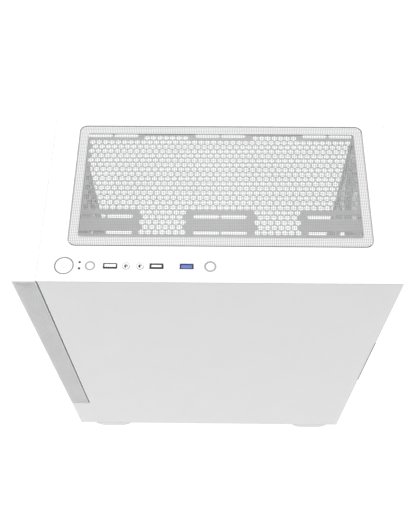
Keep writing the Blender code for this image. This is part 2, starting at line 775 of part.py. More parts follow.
def blade(inner, outer, start, sweep, height, twist):
    """One curved fan blade as a closed strip, made about the fan's own axis, which is Z."""
    stations = 3
    thick = 1.6
    work = bmesh.new()
    rings = []
    for i in range(stations):
        share = i / (stations - 1)
        radius = inner + (outer - inner) * share
        lead = start + sweep * share
        trail = lead + twist * (1.0 - 0.25 * share)
        rise = height * (1.0 - 0.2 * share) / 2
        corners = [(lead, rise), (trail, -rise), (trail, -rise - thick), (lead, rise - thick)]
        ring = []
        for turn, z in corners:
            spot = (radius * math.cos(turn), radius * math.sin(turn), z)
            ring.append(work.verts.new([value * MM for value in spot]))
        rings.append(ring)
    for near, far in zip(rings, rings[1:]):
        for i in range(4):
            j = (i + 1) % 4
            work.faces.new((near[i], near[j], far[j], far[i]))
    work.faces.new(reversed(rings[0]))
    work.faces.new(rings[-1])
    mesh = bpy.data.meshes.new("blade")
    work.to_mesh(mesh)
    work.free()
    return tidy(mesh)


def rotor(radius, hub, height, blades):
    """A fan's hub and blades, about the axis Z, centred on the origin."""
    body = cylinder((0, 0), hub, -height / 2, height / 2, steps=20)
    step = 2 * math.pi / blades
    vanes = [
        blade(hub - 1.2, radius, step * i, 0.35, height - 6.0, 0.55 * step * 1.1)
        for i in range(blades)
    ]
    return combine(body, vanes, "UNION")


def fan_frame(size, bore, depth, hole):
    """A square fan frame about the axis Z, with the motor plate and its four struts at the top end."""
    half = size / 2
    frame = plate(around((0, 0), half, half, 4.0, 2), -depth / 2, depth / 2)
    strut = 3.0
    plate_low = depth / 2 - 3.0
    motor = 20.0 * size / FAN
    frame = cut(frame, cylinder((0, 0), bore, -depth / 2 - 5, plate_low, steps=28))
    windows = []
    for i in range(4):
        spread = math.degrees(math.asin(strut / 2 / bore))
        inner_spread = math.degrees(math.asin(strut / 2 / motor))
        start = 90 * i
        loop = arc((0, 0), bore - 1.5, start + spread, start + 90 - spread, 5)
        loop += arc((0, 0), motor, start + 90 - inner_spread, start + inner_spread, 3)
        windows.append(plate(loop, plate_low - 1, depth / 2 + 5))
    corners = [(sx * hole, sy * hole) for sx in (-1, 1) for sy in (-1, 1)]
    screws = [cylinder(corner, 2.15, -depth, depth, steps=6) for corner in corners]
    return cut(cut(frame, *windows), *screws)


def fans():
    """The case fans: two in front blowing in, and one behind blowing out."""
    frame = fan_frame(FAN, FAN_BORE, FAN_DEPTH, FAN_HOLE)
    spinner = rotor(FAN_BORE - 1.5, 20.5, 19.0, 9)
    front_y = CASE_FRONT + SHEET + GAP + FAN_DEPTH / 2
    rear_y = REAR - SHEET - GAP - FAN_DEPTH / 2
    spots = {
        "front_fan_lower": (0.0, front_y, FRONT_FANS_Z[0]),
        "front_fan_upper": (0.0, front_y, FRONT_FANS_Z[1]),
        "rear_fan": (REAR_FAN[0], rear_y, REAR_FAN[1]),
    }
    for name, (x, y, z) in spots.items():
        place(f"{name}_frame", frame.copy(), "white_plastic", (x, y, z), (-QUARTER, 0, 0))
        place(f"{name}_rotor", spinner.copy(), "frost", (x, y - 1.7, z), (-QUARTER, 0, 0))


# ---------------------------------------------------------------- computer


COOLER_BASE = 62.0
COOLER_FINS = 34.0


def cpu_cooler():
    """A compact cooler: a core with radial fins, and a fan on top of it that blows at the board."""
    fins = 24
    loop = []
    for i in range(fins):
        middle = 2 * math.pi * i / fins
        for radius, side in ((19.0, -1), (44.0, -1), (44.0, 1), (19.0, 1)):
            turn = middle + side * 0.9 / radius
            loop.append((CPU[0] + radius * math.cos(turn), CPU[1] + radius * math.sin(turn)))
    low = COOLER_BASE - COOLER_FINS
    stack = plate(loop, low, COOLER_BASE, "X")
    foot = plate(around(CPU, 20.0, 20.0, 3.0, 2), COOLER_BASE - 2.0, 67.2, "X")
    place("cpu_cooler_heatsink", add(stack, foot), "aluminium")
    frame = fan_frame(92.0, 43.0, 20.0, 41.25)
    spot = (low - GAP - 10.0, *CPU)
    place("cpu_fan_frame", frame, "white_plastic", spot, (0, QUARTER, 0))
    spin = rotor(41.5, 17.0, 14.0, 7)
    place("cpu_fan_rotor", spin, "frost", (spot[0] - 1.7, *CPU), (0, QUARTER, 0))


DIMM_Y = (40.0, 30.5, 21.0, 11.5)
DIMM_Z = (284.0, 424.0)


def motherboard():
    """The board with the sockets soldered to it."""
    high = BOARD_FACE
    root = BOARD_FACE + 0.8
    board = plate(rectangle(BOARD_Y, BOARD_Z), high, high + BOARD_THICK, "X")
    parts = [box((67.6, root), (CPU[0] - 24.0, CPU[0] + 24.0), (CPU[1] - 26.0, CPU[1] + 26.0))]
    parts += [box((66.0, root), (y - 3.0, y + 3.0), DIMM_Z) for y in DIMM_Y]
    for i in (0, 2, 4):
        z = 256.0 - SLOT_PITCH * i
        parts.append(box((61.5, root), (50.0, 139.0), (z - 3.8, z + 3.8)))
    parts.append(box((60.0, root), (-54.0, -44.0), (330.0, 382.0)))
    parts.append(box((60.0, root), (BOARD_Y[1] - 60.0, BOARD_Y[1] - 42.0), (BOARD_Z[1] - 12.0, BOARD_Z[1] - 2.0)))
    parts.append(box((62.0, root), (-50.0, -36.0), (200.0, 232.0)))
    place("motherboard", combine(board, parts, "UNION"), "board")
    for name, y in (("memory_module_a", DIMM_Y[1]), ("memory_module_b", DIMM_Y[3])):
        stick = box((33.0, 65.7), (y - 2.8, y + 2.8), (DIMM_Z[0] + 3.0, DIMM_Z[1] - 3.0))
        place(name, softened(stick, 0.6, segments=1), "aluminium")
    sink = plate(rectangle((68.0, 124.0), (403.0, 431.0)), 66.0, BOARD_FACE - GAP, "X")
    fins = [box((46.0, 67.0), (70.0 + 7.0 * i, 73.0 + 7.0 * i), (404.0, 430.0)) for i in range(8)]
    place("power_stage_heatsink", combine(sink, fins, "UNION"), "aluminium")


# Each stack of rear ports: its lower and upper edge along Z, and how far it stands off the board.
PORT_STACKS = [
    (410.0, 424.0, 45.0),
    (388.0, 402.0, 45.0),
    (364.0, 380.0, 58.0),
    (340.0, 356.0, 42.0),
    (316.0, 332.0, 42.0),
    (284.0, 308.0, 40.0),
]


def rear_ports():
    """The ports at the board's rear edge, and the shield that fills the window round them."""
    base = box((62.0, BOARD_FACE - GAP), (166.0, 186.0), (282.0, 426.0))
    stacks = [box((x, 69.5), (168.0, REAR + 1.2), (low, high)) for low, high, x in PORT_STACKS]
    body = combine(base, stacks, "UNION")
    low, high, x = PORT_STACKS[3]
    middle = (low + high) / 2
    sockets = [box((44.5, 53.5), (178.0, REAR + 5), (middle - 6.2, middle + 6.2))]
    sockets += [box((56.0, 60.6), (180.0, REAR + 5), (middle - 6.4, middle + 6.4))]
    place("rear_port_block", cut(body, *sockets), "steel")
    outline = rectangle(
        (IO_WINDOW_X[0] + GAP, IO_WINDOW_X[1] - GAP),
        (IO_WINDOW_Z[0] + GAP, IO_WINDOW_Z[1] - GAP),
    )
    holes = [rectangle((x - 0.5, 70.0), (low - 0.5, high + 0.5)) for low, high, x in PORT_STACKS]
    place("port_shield", plate(outline, REAR - SHEET, REAR, "Y", holes), "steel")


INLET = (-38.0, 78.0)
SWITCH = (-38.0, 42.0)
SWITCH_PIVOT = 3.4
SWITCH_TILT = math.radians(8.0)
PSU_WALL = 1.0
PSU_FAN_Z = PSU_Z[0] + PSU_WALL + GAP + FAN_DEPTH / 2


def psu_pocket(centre, half_x, half_z, deep):
    """A socket's pocket in the power supply's back: its housing, and the cutter that opens it."""
    back = PSU_Y[1]
    wall = 1.4
    x = (centre[0] - half_x, centre[0] + half_x)
    z = (centre[1] - half_z, centre[1] + half_z)
    outer_x = (x[0] - wall, x[1] + wall)
    outer_z = (z[0] - wall, z[1] + wall)
    housing = box(outer_x, (back - deep - wall, back - PSU_WALL / 2), outer_z)
    return housing, box(x, (back - deep, back + 5), z)


def power_supply():
    """The power supply: a steel shell with the mains inlet and a rocker switch behind and a fan below."""
    middle = (sum(PSU_X) / 2, sum(PSU_Y) / 2)
    back = PSU_Y[1]
    case = softened(box(PSU_X, PSU_Y, PSU_Z), 1.2, segments=1)
    inside = [(low + PSU_WALL, high - PSU_WALL) for low, high in (PSU_X, PSU_Y, PSU_Z)]
    intake = cylinder(middle, FAN_BORE, PSU_Z[0] - 5, PSU_Z[0] + 5, steps=28)
    case = cut(case, add(box(*inside), intake))
    inlet, inlet_pocket = psu_pocket(INLET, 12.0, 8.0, 15.0)
    bed, bed_pocket = psu_pocket(SWITCH, 9.8, 6.6, 9.0)
    case = add(case, inlet, bed)
    slots = [
        plate(around((30.0, 30.0 + 8.0 * i), 26.0, 2.2, 2.19, 1), back - 4.0, back + 5, "Y")
        for i in range(9)
    ]
    case = cut(case, inlet_pocket, bed_pocket, *slots)
    pins = []
    for dx, dz in ((-7.0, -1.5), (0.0, 2.5), (7.0, -1.5)):
        x = (INLET[0] + dx - 1.0, INLET[0] + dx + 1.0)
        z = (INLET[1] + dz - 2.0, INLET[1] + dz + 2.0)
        pins.append(box(x, (back - 15.5, back - 2.0), z))
    place("psu_case", combine(case, pins, "UNION"), "white_steel")
    frame = fan_frame(FAN, FAN_BORE, FAN_DEPTH, FAN_HOLE)
    place("psu_fan_frame", frame, "white_plastic", (*middle, PSU_FAN_Z), (0, 0, 0))
    spin = rotor(FAN_BORE - 1.5, 20.5, 19.0, 9)
    place("psu_fan_rotor", spin, "frost", (*middle, PSU_FAN_Z - 1.7), (0, 0, 0))
    half = [(-4.0, -2.5), (1.6, -5.8), (3.6, -5.6), (2.2, 0.0)]
    loop = half + [(y, -z) for y, z in reversed(half[:-1])]
    rocker = plate(loop, -9.2, 9.2, "X")
    pivot = (SWITCH[0], back - SWITCH_PIVOT, SWITCH[1])
    place("psu_switch", rocker, "black_plastic", pivot, (SWITCH_TILT, 0, 0))


def drives():
    """A 3.5 inch drive in the cage's lower bay, and a 2.5 inch drive behind the board's tray."""
    low = BAYS_Z[0] + SHEET + GAP
    disk = box((-68.0, 79.0), (-151.8, -50.2), (low, low + 26.1))
    rim = box((-62.0, 72.0), (-146.0, -56.0), (low + 24.6, low + 40.0))
    disk = cut(softened(disk, 1.0, segments=1), rim)
    place("hard_drive", disk, "aluminium")
    flat = box((TRAY + SHEET + GAP, TRAY + SHEET + GAP + 7.0), (35.0, 104.85), (188.0, 288.0))
    place("solid_state_drive", softened(flat, 0.8, segments=1), "black_plastic")


def smooth_route(corners, steps):
    """Points along a Catmull-Rom curve through the corners."""
    points = [Vector(corner) for corner in corners]
    padded = [points[0] * 2 - points[1], *points, points[-1] * 2 - points[-2]]
    route = []
    for before, start, end, after in zip(padded, padded[1:], padded[2:], padded[3:]):
        for i in range(steps):
            t = i / steps
            bend = 2 * start + (end - before) * t
            bend += (2 * before - 5 * start + 4 * end - after) * t * t
            bend += (3 * start - before - 3 * end + after) * t * t * t
            route.append(bend / 2)
    return [*route, points[-1]]


def power_cable():
    """The sleeved main power lead: from the board's socket, behind the tray, to the power supply."""
    route = [
        (42.0, -49.0, 356.0),
        (30.0, -51.0, 356.0),
        (25.0, -62.0, 355.0),
        (32.0, -78.0, 354.0),
        (50.0, -90.0, 353.0),
        (70.0, -95.0, 350.0),
        (84.0, -96.0, 342.0),
        (92.0, -96.0, 325.0),
        (92.5, -96.0, 290.0),
        (92.5, -96.0, 230.0),
        (92.5, -96.0, 170.0),
        (92.5, -94.0, 110.0),
        (92.5, -84.0, 82.0),
        (92.5, -62.0, 68.0),
        (92.5, -36.0, 65.0),
        (89.0, -14.0, 65.0),
        (76.0, 0.0, 65.0),
        (62.0, 10.0, 65.0),
        (55.0, 26.0, 65.0),
        (55.0, 40.0, 65.0),
        (55.0, PSU_Y[0] - GAP, 65.0),
    ]
    curve = bpy.data.curves.new("lead", "CURVE")
    curve.dimensions = "3D"
    curve.bevel_depth = 5.0 * MM
    curve.bevel_resolution = 2
    curve.use_fill_caps = True
    points = smooth_route(route, 2)
    spline = curve.splines.new("POLY")
    spline.points.add(len(points) - 1)
    for point, spot in zip(spline.points, points):
        point.co = (*(spot * MM), 1.0)
    holder = bpy.data.objects.new("lead", curve)
    tube = tidy(bpy.data.meshes.new_from_object(holder))
    bpy.data.objects.remove(holder)
    plug = box((40.0, 60.0 - GAP), (-54.0, -44.0), (330.5, 381.5))
    place("power_cable", add(plug, tube), "white_plastic")


def clear_scene():
    for old in list(bpy.data.objects):
        bpy.data.objects.remove(old)


clear_scene()
top_panel()
front_bezel()
front_mesh()
right_side_panel()
left_panel()
panel_screws()
top_filter()
chassis_floor()
psu_filter()
feet()
front_frame()
rear_panel()
motherboard_tray()
psu_shroud()
drive_cage()
control_strip()
fans()
cpu_cooler()
motherboard()
rear_ports()
power_supply()
drives()
power_cable()
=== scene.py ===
"""Looks of the desktop computer tower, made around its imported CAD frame.

Sizes in this file are in millimetres; the mesh helpers turn them into metres.
+Z is up, the front looks along -Y, the plain steel side is on +X and the glass side on -X.
"""

import json
import math
import random

import bmesh
import bpy
from mathutils import Matrix, Vector

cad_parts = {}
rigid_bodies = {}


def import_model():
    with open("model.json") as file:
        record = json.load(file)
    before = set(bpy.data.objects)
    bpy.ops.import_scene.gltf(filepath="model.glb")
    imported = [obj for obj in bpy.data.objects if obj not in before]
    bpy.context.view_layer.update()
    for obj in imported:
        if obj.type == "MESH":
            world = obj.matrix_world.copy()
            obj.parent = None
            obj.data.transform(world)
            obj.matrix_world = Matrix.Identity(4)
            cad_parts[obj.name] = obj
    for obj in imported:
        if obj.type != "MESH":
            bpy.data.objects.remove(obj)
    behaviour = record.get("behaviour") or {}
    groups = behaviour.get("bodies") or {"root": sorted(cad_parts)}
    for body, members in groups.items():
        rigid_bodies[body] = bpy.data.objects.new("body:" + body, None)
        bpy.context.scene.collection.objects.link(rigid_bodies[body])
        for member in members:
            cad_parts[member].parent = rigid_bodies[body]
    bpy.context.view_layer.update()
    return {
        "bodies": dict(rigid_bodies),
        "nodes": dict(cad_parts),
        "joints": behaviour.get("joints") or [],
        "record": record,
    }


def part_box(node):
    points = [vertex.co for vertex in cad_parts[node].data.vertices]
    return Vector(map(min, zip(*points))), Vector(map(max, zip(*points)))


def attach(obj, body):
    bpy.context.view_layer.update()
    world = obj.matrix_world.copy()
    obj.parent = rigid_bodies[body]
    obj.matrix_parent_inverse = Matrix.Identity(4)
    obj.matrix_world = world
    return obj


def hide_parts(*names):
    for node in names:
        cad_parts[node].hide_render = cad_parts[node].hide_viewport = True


MM = 0.001
QUARTER = math.pi / 2
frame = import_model()


def spans(node):
    """A CAD node's extent along X, Y and Z."""
    low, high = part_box(node)
    return [(round(a / MM, 2), round(b / MM, 2)) for a, b in zip(low, high)]


def middle(span):
    """The value halfway along a span."""
    return (span[0] + span[1]) / 2


# Outer planes, read from the frame
SHEET = 0.8
GAP = 0.3
SIDE = spans("top_panel")[0][1]
CASE_FRONT, REAR = spans("top_panel")[1]
TOP = spans("top_panel")[2][1]
FRONT = spans("front_bezel")[1][0]
BASE = spans("front_bezel")[2][0]
FLOOR_TOP = BASE + SHEET

# ---------------------------------------------------------------- outlines


def arc(centre, radius, start, stop, steps):
    """Points along an arc, with the angles in degrees."""
    turns = [math.radians(start + (stop - start) * i / steps) for i in range(steps + 1)]
    return [(centre[0] + radius * math.cos(t), centre[1] + radius * math.sin(t)) for t in turns]


def circle(centre, radius, steps=32, start=0.0):
    """A closed round outline."""
    return arc(centre, radius, start, start + 360, steps)[:-1]


def rectangle(across, up, radius=0.0, steps=5):
    """A rectangle between two pairs of values, with rounded corners if radius is given."""
    if radius <= 0:
        return [(across[0], up[0]), (across[1], up[0]), (across[1], up[1]), (across[0], up[1])]
    corners = [
        ((across[1] - radius, up[0] + radius), -90),
        ((across[1] - radius, up[1] - radius), 0),
        ((across[0] + radius, up[1] - radius), 90),
        ((across[0] + radius, up[0] + radius), 180),
    ]
    return [p for centre, turn in corners for p in arc(centre, radius, turn, turn + 90, steps)]


def moved(spot):
    """The move to a spot given in millimetres."""
    return Matrix.Translation([value * MM for value in spot])


def around(centre, half_across, half_up, radius=0.0, steps=5):
    """A rectangle's outline about its centre."""
    across = (centre[0] - half_across, centre[0] + half_across)
    up = (centre[1] - half_up, centre[1] + half_up)
    return rectangle(across, up, radius, steps)


def grown(span, by):
    """A span made longer at both ends."""
    return (span[0] - by, span[1] + by)


def about(value, half):
    """The span that reaches equally far to either side of a value."""
    return (value - half, value + half)


def spaced(start, pitch, count):
    """Evenly spaced values."""
    return [start + pitch * i for i in range(count)]


def four_corners(centre, half_across, half_up):
    """The corners of a rectangle about its centre."""
    return [
        (centre[0] + across * half_across, centre[1] + up * half_up)
        for across in (-1, 1)
        for up in (-1, 1)
    ]


def bent(corners, steps=4):
    """A closed outline whose corners (across, up, radius) are rounded, as bent sheet is."""
    points = []
    count = len(corners)
    for i, (x, y, radius) in enumerate(corners):
        here = Vector((x, y))
        before = Vector(corners[i - 1][:2]) - here
        after = Vector(corners[(i + 1) % count][:2]) - here
        if radius <= 0:
            points.append((x, y))
            continue
        half = before.angle(after) / 2
        reach = min(radius / math.tan(half), before.length * 0.49, after.length * 0.49)
        start = here + before.normalized() * reach
        stop = here + after.normalized() * reach
        for k in range(steps + 1):
            share = k / steps
            spot = start.lerp(here, share).lerp(here.lerp(stop, share), share)
            points.append((spot.x, spot.y))
    return points


# ---------------------------------------------------------------- mesh helpers


def axes_for(normal):
    """The turn that lays a flat outline's two axes and its normal along row axes."""
    across, up = {"X": ("Y", "Z"), "Y": ("X", "Z"), "Z": ("X", "Y")}[normal]
    axes = {"X": Vector((1, 0, 0)), "Y": Vector((0, 1, 0)), "Z": Vector((0, 0, 1))}
    return Matrix((axes[across], axes[up], axes[normal])).transposed().to_4x4()


def pointing(axis):
    """The turn that lays a shape's own +Z along a signed row axis."""
    turns = {
        "Z": Matrix.Identity(4),
        "-Z": Matrix.Rotation(math.pi, 4, "X"),
        "X": Matrix.Rotation(QUARTER, 4, "Y"),
        "-X": Matrix.Rotation(-QUARTER, 4, "Y"),
        "Y": Matrix.Rotation(-QUARTER, 4, "X"),
        "-Y": Matrix.Rotation(QUARTER, 4, "X"),
    }
    return turns[axis]


def finished(work, name):
    """The mesh that a bmesh has built up."""
    mesh = bpy.data.meshes.new(name)
    work.to_mesh(mesh)
    work.free()
    return mesh


def skinned(work, rings):
    """Closes a row of vertex rings into a solid: walls between them and a cap at either end."""
    count = len(rings[0])
    for near, far in zip(rings, rings[1:]):
        for k in range(count):
            m = (k + 1) % count
            work.faces.new((near[k], near[m], far[m], far[k]))
    work.faces.new(reversed(rings[0]))
    work.faces.new(rings[-1])


def tidy(mesh):
    """Joins doubled corners and turns every face outwards."""
    work = bmesh.new()
    work.from_mesh(mesh)
    bmesh.ops.remove_doubles(work, verts=work.verts, dist=1e-7)
    bmesh.ops.recalc_face_normals(work, faces=work.faces)
    work.to_mesh(mesh)
    work.free()
    return mesh


def plate(outline, low, high, normal="Z", holes=(), soft=0.15, steps=1):
    """A flat piece from low to high along its normal, with holes through it and softened edges."""
    soft = min(soft, (high - low) * 0.49)
    curve = bpy.data.curves.new("outline", "CURVE")
    curve.dimensions = "2D"
    curve.fill_mode = "BOTH"
    curve.extrude = ((high - low) / 2 - soft) * MM
    curve.bevel_depth = soft * MM
    curve.bevel_resolution = steps
    curve.offset = -soft * MM
    for loop in [outline, *holes]:
        spline = curve.splines.new("POLY")
        spline.points.add(len(loop) - 1)
        for point, (across, up) in zip(spline.points, loop):
            point.co = (across * MM, up * MM, 0, 1)
        spline.use_cyclic_u = True
    holder = bpy.data.objects.new("outline", curve)
    mesh = bpy.data.meshes.new_from_object(holder)
    bpy.data.objects.remove(holder)
    bpy.data.curves.remove(curve)
    lift = Matrix.Translation((0, 0, (high + low) / 2 * MM))
    mesh.transform(axes_for(normal) @ lift)
    return tidy(mesh)


def block(x, y, z, soft=0.3, steps=2):
    """A block between two values along each axis, with softened edges."""
    work = bmesh.new()
    bmesh.ops.create_cube(work, size=1.0)
    size = [(high - low) * MM for low, high in (x, y, z)]
    spot = [(high + low) / 2 * MM for low, high in (x, y, z)]
    shape = Matrix.Translation(spot) @ Matrix.Diagonal(size + [1.0])
    bmesh.ops.transform(work, verts=work.verts, matrix=shape)
    if soft > 0:
        bmesh.ops.bevel(
            work,
            geom=work.edges[:],
            offset=min(soft * MM, min(size) * 0.4),
            segments=steps,
            profile=0.5,
            affect="EDGES",
        )
    return finished(work, "block")


def turned(profile, centre, axis="Z", steps=32):
    """A round piece: a profile of (radius, height) pairs turned about an axis through centre."""
    work = bmesh.new()
    rings = []
    for radius, height in profile:
        if radius < 1e-6:
            rings.append([work.verts.new((0, 0, height * MM))])
            continue
        ring = [
            work.verts.new((px * MM, py * MM, height * MM))
            for px, py in circle((0, 0), radius, steps)
        ]
        rings.append(ring)
    for below, above in zip(rings, rings[1:]):
        if len(below) == 1 and len(above) == 1:
            continue
        for i in range(steps):
            j = (i + 1) % steps
            if len(below) == 1:
                work.faces.new((below[0], above[i], above[j]))
            elif len(above) == 1:
                work.faces.new((below[i], above[0], below[j]))
            else:
                work.faces.new((below[i], below[j], above[j], above[i]))
    mesh = finished(work, "turned")
    mesh.transform(moved(centre) @ pointing(axis))
    return tidy(mesh)


def rod(radius, span, centre, axis="Z", steps=32):
    """A plain round rod between two heights."""
    low, high = span
    return turned([(0, low), (radius, low), (radius, high), (0, high)], centre, axis, steps)


def tube(inner, outer, span, centre, axis="Z", steps=32):
    """A plain round tube between two heights."""
    low, high = span
    ring = [(inner, low), (outer, low), (outer, high), (inner, high), (inner, low)]
    return turned(ring, centre, axis, steps)


def pipe(points, radius, sides=8, closed=False):
    """A round bar along a list of points."""
    curve = bpy.data.curves.new("bar", "CURVE")
    curve.dimensions = "3D"
    curve.bevel_depth = radius * MM
    curve.bevel_resolution = max(0, sides // 2 - 2)
    curve.use_fill_caps = True
    spline = curve.splines.new("POLY")
    spline.points.add(len(points) - 1)
    for point, spot in zip(spline.points, points):
        point.co = (*(Vector(spot) * MM), 1.0)
    spline.use_cyclic_u = closed
    holder = bpy.data.objects.new("bar", curve)
    mesh = bpy.data.meshes.new_from_object(holder)
    bpy.data.objects.remove(holder)
    bpy.data.curves.remove(curve)
    return tidy(mesh)


def merged(meshes):
    """One mesh that holds several."""
    work = bmesh.new()
    for mesh in meshes:
        work.from_mesh(mesh)
    return finished(work, "merged")


def cut(mesh, *others):
    """The mesh with the others cut out of it."""
    collection = bpy.context.scene.collection
    made = bpy.data.objects.new("piece", mesh)
    tool = bpy.data.objects.new("tool", merged(others))
    for holder in (made, tool):
        collection.objects.link(holder)
    boolean = made.modifiers.new("boolean", "BOOLEAN")
    boolean.operation = "DIFFERENCE"
    boolean.solver = "EXACT"
    boolean.object = tool
    bpy.context.view_layer.update()
    seen = made.evaluated_get(bpy.context.evaluated_depsgraph_get())
    result = bpy.data.meshes.new_from_object(seen)
    for holder in (made, tool):
        bpy.data.objects.remove(holder)
    return tidy(result)


def piece(name, meshes, look, replaces=(), body="case", slot=None, sharp=32):
    """Puts one finished piece in the scene, riding on its body."""
    mesh = merged(meshes if isinstance(meshes, list) else [meshes])
    made = bpy.data.objects.new(name, mesh)
    mesh.materials.clear()
    mesh.materials.append(look)
    mesh.shade_smooth()
    mesh.set_sharp_from_angle(angle=math.radians(sharp))
    bpy.context.scene.collection.objects.link(made)
    weighted = made.modifiers.new("weighted", "WEIGHTED_NORMAL")
    weighted.keep_sharp = True
    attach(made, body)
    if replaces:
        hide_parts(*replaces)
    slot = slot or SLOTS[look.name]
    return made


# ---------------------------------------------------------------- materials


WAVE_PITCH = 0.314  # scale of a wave texture whose bands are one unit apart
CLOUD_SIZE = 45.0
SMEAR_SIZE = 8.0
STROKE = 0.04  # how much brushing draws the grain out along its own axis


def link(tree, start, output, end, socket):
    """Links an output of one shader node to a socket of another."""
    tree.links.new(start.outputs[output], end.inputs[socket])


def shader_node(tree, kind, sockets=(), **settings):
    """A shader node with its settings and the values of its sockets."""
    made = tree.nodes.new(f"ShaderNode{kind}")
    for key, value in settings.items():
        setattr(made, key, value)
    for key, value in dict(sockets).items():
        made.inputs[key].default_value = value
    return made


def noise(tree, size, detail=3.0, stretch=None):
    """Noise with features of about the given size, in the object's own space."""
    where = shader_node(tree, "TexCoord")
    made = shader_node(tree, "TexNoise", {"Scale": 1.0 / (size * MM), "Detail": detail})
    if stretch is None:
        link(tree, where, "Object", made, "Vector")
        return made
    mapping = shader_node(tree, "Mapping", {"Scale": stretch})
    link(tree, where, "Object", mapping, "Vector")
    link(tree, mapping, "Vector", made, "Vector")
    return made


def waves(tree, direction, pitch, distortion=0.0):
    """Parallel bands a pitch apart, in the object's own space."""
    where = shader_node(tree, "TexCoord")
    sockets = {"Scale": WAVE_PITCH / (pitch * MM), "Distortion": distortion}
    made = shader_node(tree, "TexWave", sockets, bands_direction=direction)
    link(tree, where, "Object", made, "Vector")
    return made


def spread(tree, source, output, low, high, start=0.3, stop=0.7):
    """A value spread over a new range."""
    limits = {"From Min": start, "From Max": stop, "To Min": low, "To Max": high}
    made = shader_node(tree, "MapRange", limits)
    link(tree, source, output, made, "Value")
    return made


def blended(tree, factor, output, first, second):
    """Two colours mixed by a factor; a colour may be a value or a (node, output) pair."""
    made = shader_node(tree, "Mix", data_type="RGBA")
    link(tree, factor, output, made, "Factor")
    for index, colour in ((6, first), (7, second)):
        if isinstance(colour[0], bpy.types.Node):
            tree.links.new(colour[0].outputs[colour[1]], made.inputs[index])
        else:
            made.inputs[index].default_value = (*colour, 1.0)
    return made


def tinted(tree, factor, output, colour):
    """Mixes a colour into a finish by a factor."""
    base = tree.nodes["Principled BSDF"].inputs["Base Color"]
    mix = blended(tree, factor, output, (base.links[0].from_node, 2), colour)
    tree.links.new(mix.outputs[2], base)


def bumped(tree, source, output, strength, depth):
    """Gives a finish its relief, with the depth in millimetres."""
    bump = shader_node(tree, "Bump", {"Strength": strength, "Distance": depth * MM})
    link(tree, source, output, bump, "Height")
    link(tree, bump, "Normal", tree.nodes["Principled BSDF"], "Normal")


def surface(
    name, colour, roughness, metallic=0.0, mottle=0.02, grain=0.5, relief=0.06, stretch=None
):
    """A finish with cloudy tone, uneven gloss and a fine grain in its relief."""
    made = bpy.data.materials.new(name)
    made.use_nodes = True
    tree = made.node_tree
    shader = tree.nodes["Principled BSDF"]
    shader.inputs["Metallic"].default_value = metallic
    clouds = noise(tree, CLOUD_SIZE, 4.0, stretch)
    paler = [min(1.0, c * (1 + mottle)) for c in colour]
    darker = [c * (1 - mottle) for c in colour]
    factor = spread(tree, clouds, "Fac", 0.0, 1.0)
    tone = blended(tree, factor, "Result", darker, paler)
    tree.links.new(tone.outputs[2], shader.inputs["Base Color"])
    smears = noise(tree, SMEAR_SIZE, 4.0, stretch)
    gloss = spread(tree, smears, "Fac", roughness * 0.88, min(1.0, roughness * 1.14))
    link(tree, gloss, "Result", shader, "Roughness")
    fine = noise(tree, grain, 2.0, stretch)
    bumped(tree, fine, "Fac", relief, grain * 0.25)
    return made


def curvature_toned_edges(material, colour, amount=0.5):
    """Edges turned towards another tone, found by the surface's curvature."""
    tree = material.node_tree
    shape = shader_node(tree, "NewGeometry")
    edge = spread(tree, shape, "Pointiness", 0.0, amount, 0.51, 0.6)
    tinted(tree, edge, "Result", colour)
    return material


def brushed(name, colour, roughness, along):
    """Metal brushed along one axis."""
    stretch = [STROKE if axis == along else 1 for axis in "XYZ"]
    return surface(name, colour, roughness, 1.0, 0.05, 0.35, 0.25, stretch)


def board_look(name, colour, trace):
    """A circuit board: solder mask with copper traces showing through as fine parallel lines."""
    made = surface(name, colour, 0.38, 0.0, 0.02, 0.4, 0.05)
    tree = made.node_tree
    where = shader_node(tree, "TexCoord")
    size = {"Scale": 1.0 / (22.0 * MM)}
    patches = shader_node(tree, "TexVoronoi", size, distance="CHEBYCHEV")
    link(tree, where, "Object", patches, "Vector")
    split = shader_node(tree, "SeparateColor")
    link(tree, patches, "Color", split, "Color")
    choose = shader_node(tree, "Math", {1: 0.5}, operation="GREATER_THAN")
    link(tree, split, "Red", choose, 0)
    rows = [(waves(tree, direction, 2.4, 0.6), "Fac") for direction in ("Y", "Z")]
    pick = blended(tree, choose, "Value", *rows)
    lines = spread(tree, pick, 2, 0.0, 1.0, 0.70, 0.80)
    tinted(tree, lines, "Result", trace)
    return made


def braided(name, colour, size=1.1):
    """A woven cable sleeve: crossed diagonal threads in its colour and relief."""
    made = surface(name, colour, 0.6, 0.0, 0.02, 0.4, 0.1)
    tree = made.node_tree
    bumped(tree, waves(tree, "DIAGONAL", size), "Fac", 0.6, 0.3)
    return made


def woven(name, colour, dark, pitch):
    """Fine woven film: threads crossing at right angles, in its tone and its relief."""
    made = surface(name, colour, 0.6, 0.0, 0.01, 0.4, 0.1)
    tree = made.node_tree
    threads = [waves(tree, direction, pitch) for direction in ("X", "Y")]
    for wave in threads:
        tinted(tree, spread(tree, wave, "Fac", 0.0, 1.0, 0.55, 0.95), "Result", dark)
    bumped(tree, threads[0], "Fac", 0.5, 0.1)
    return made


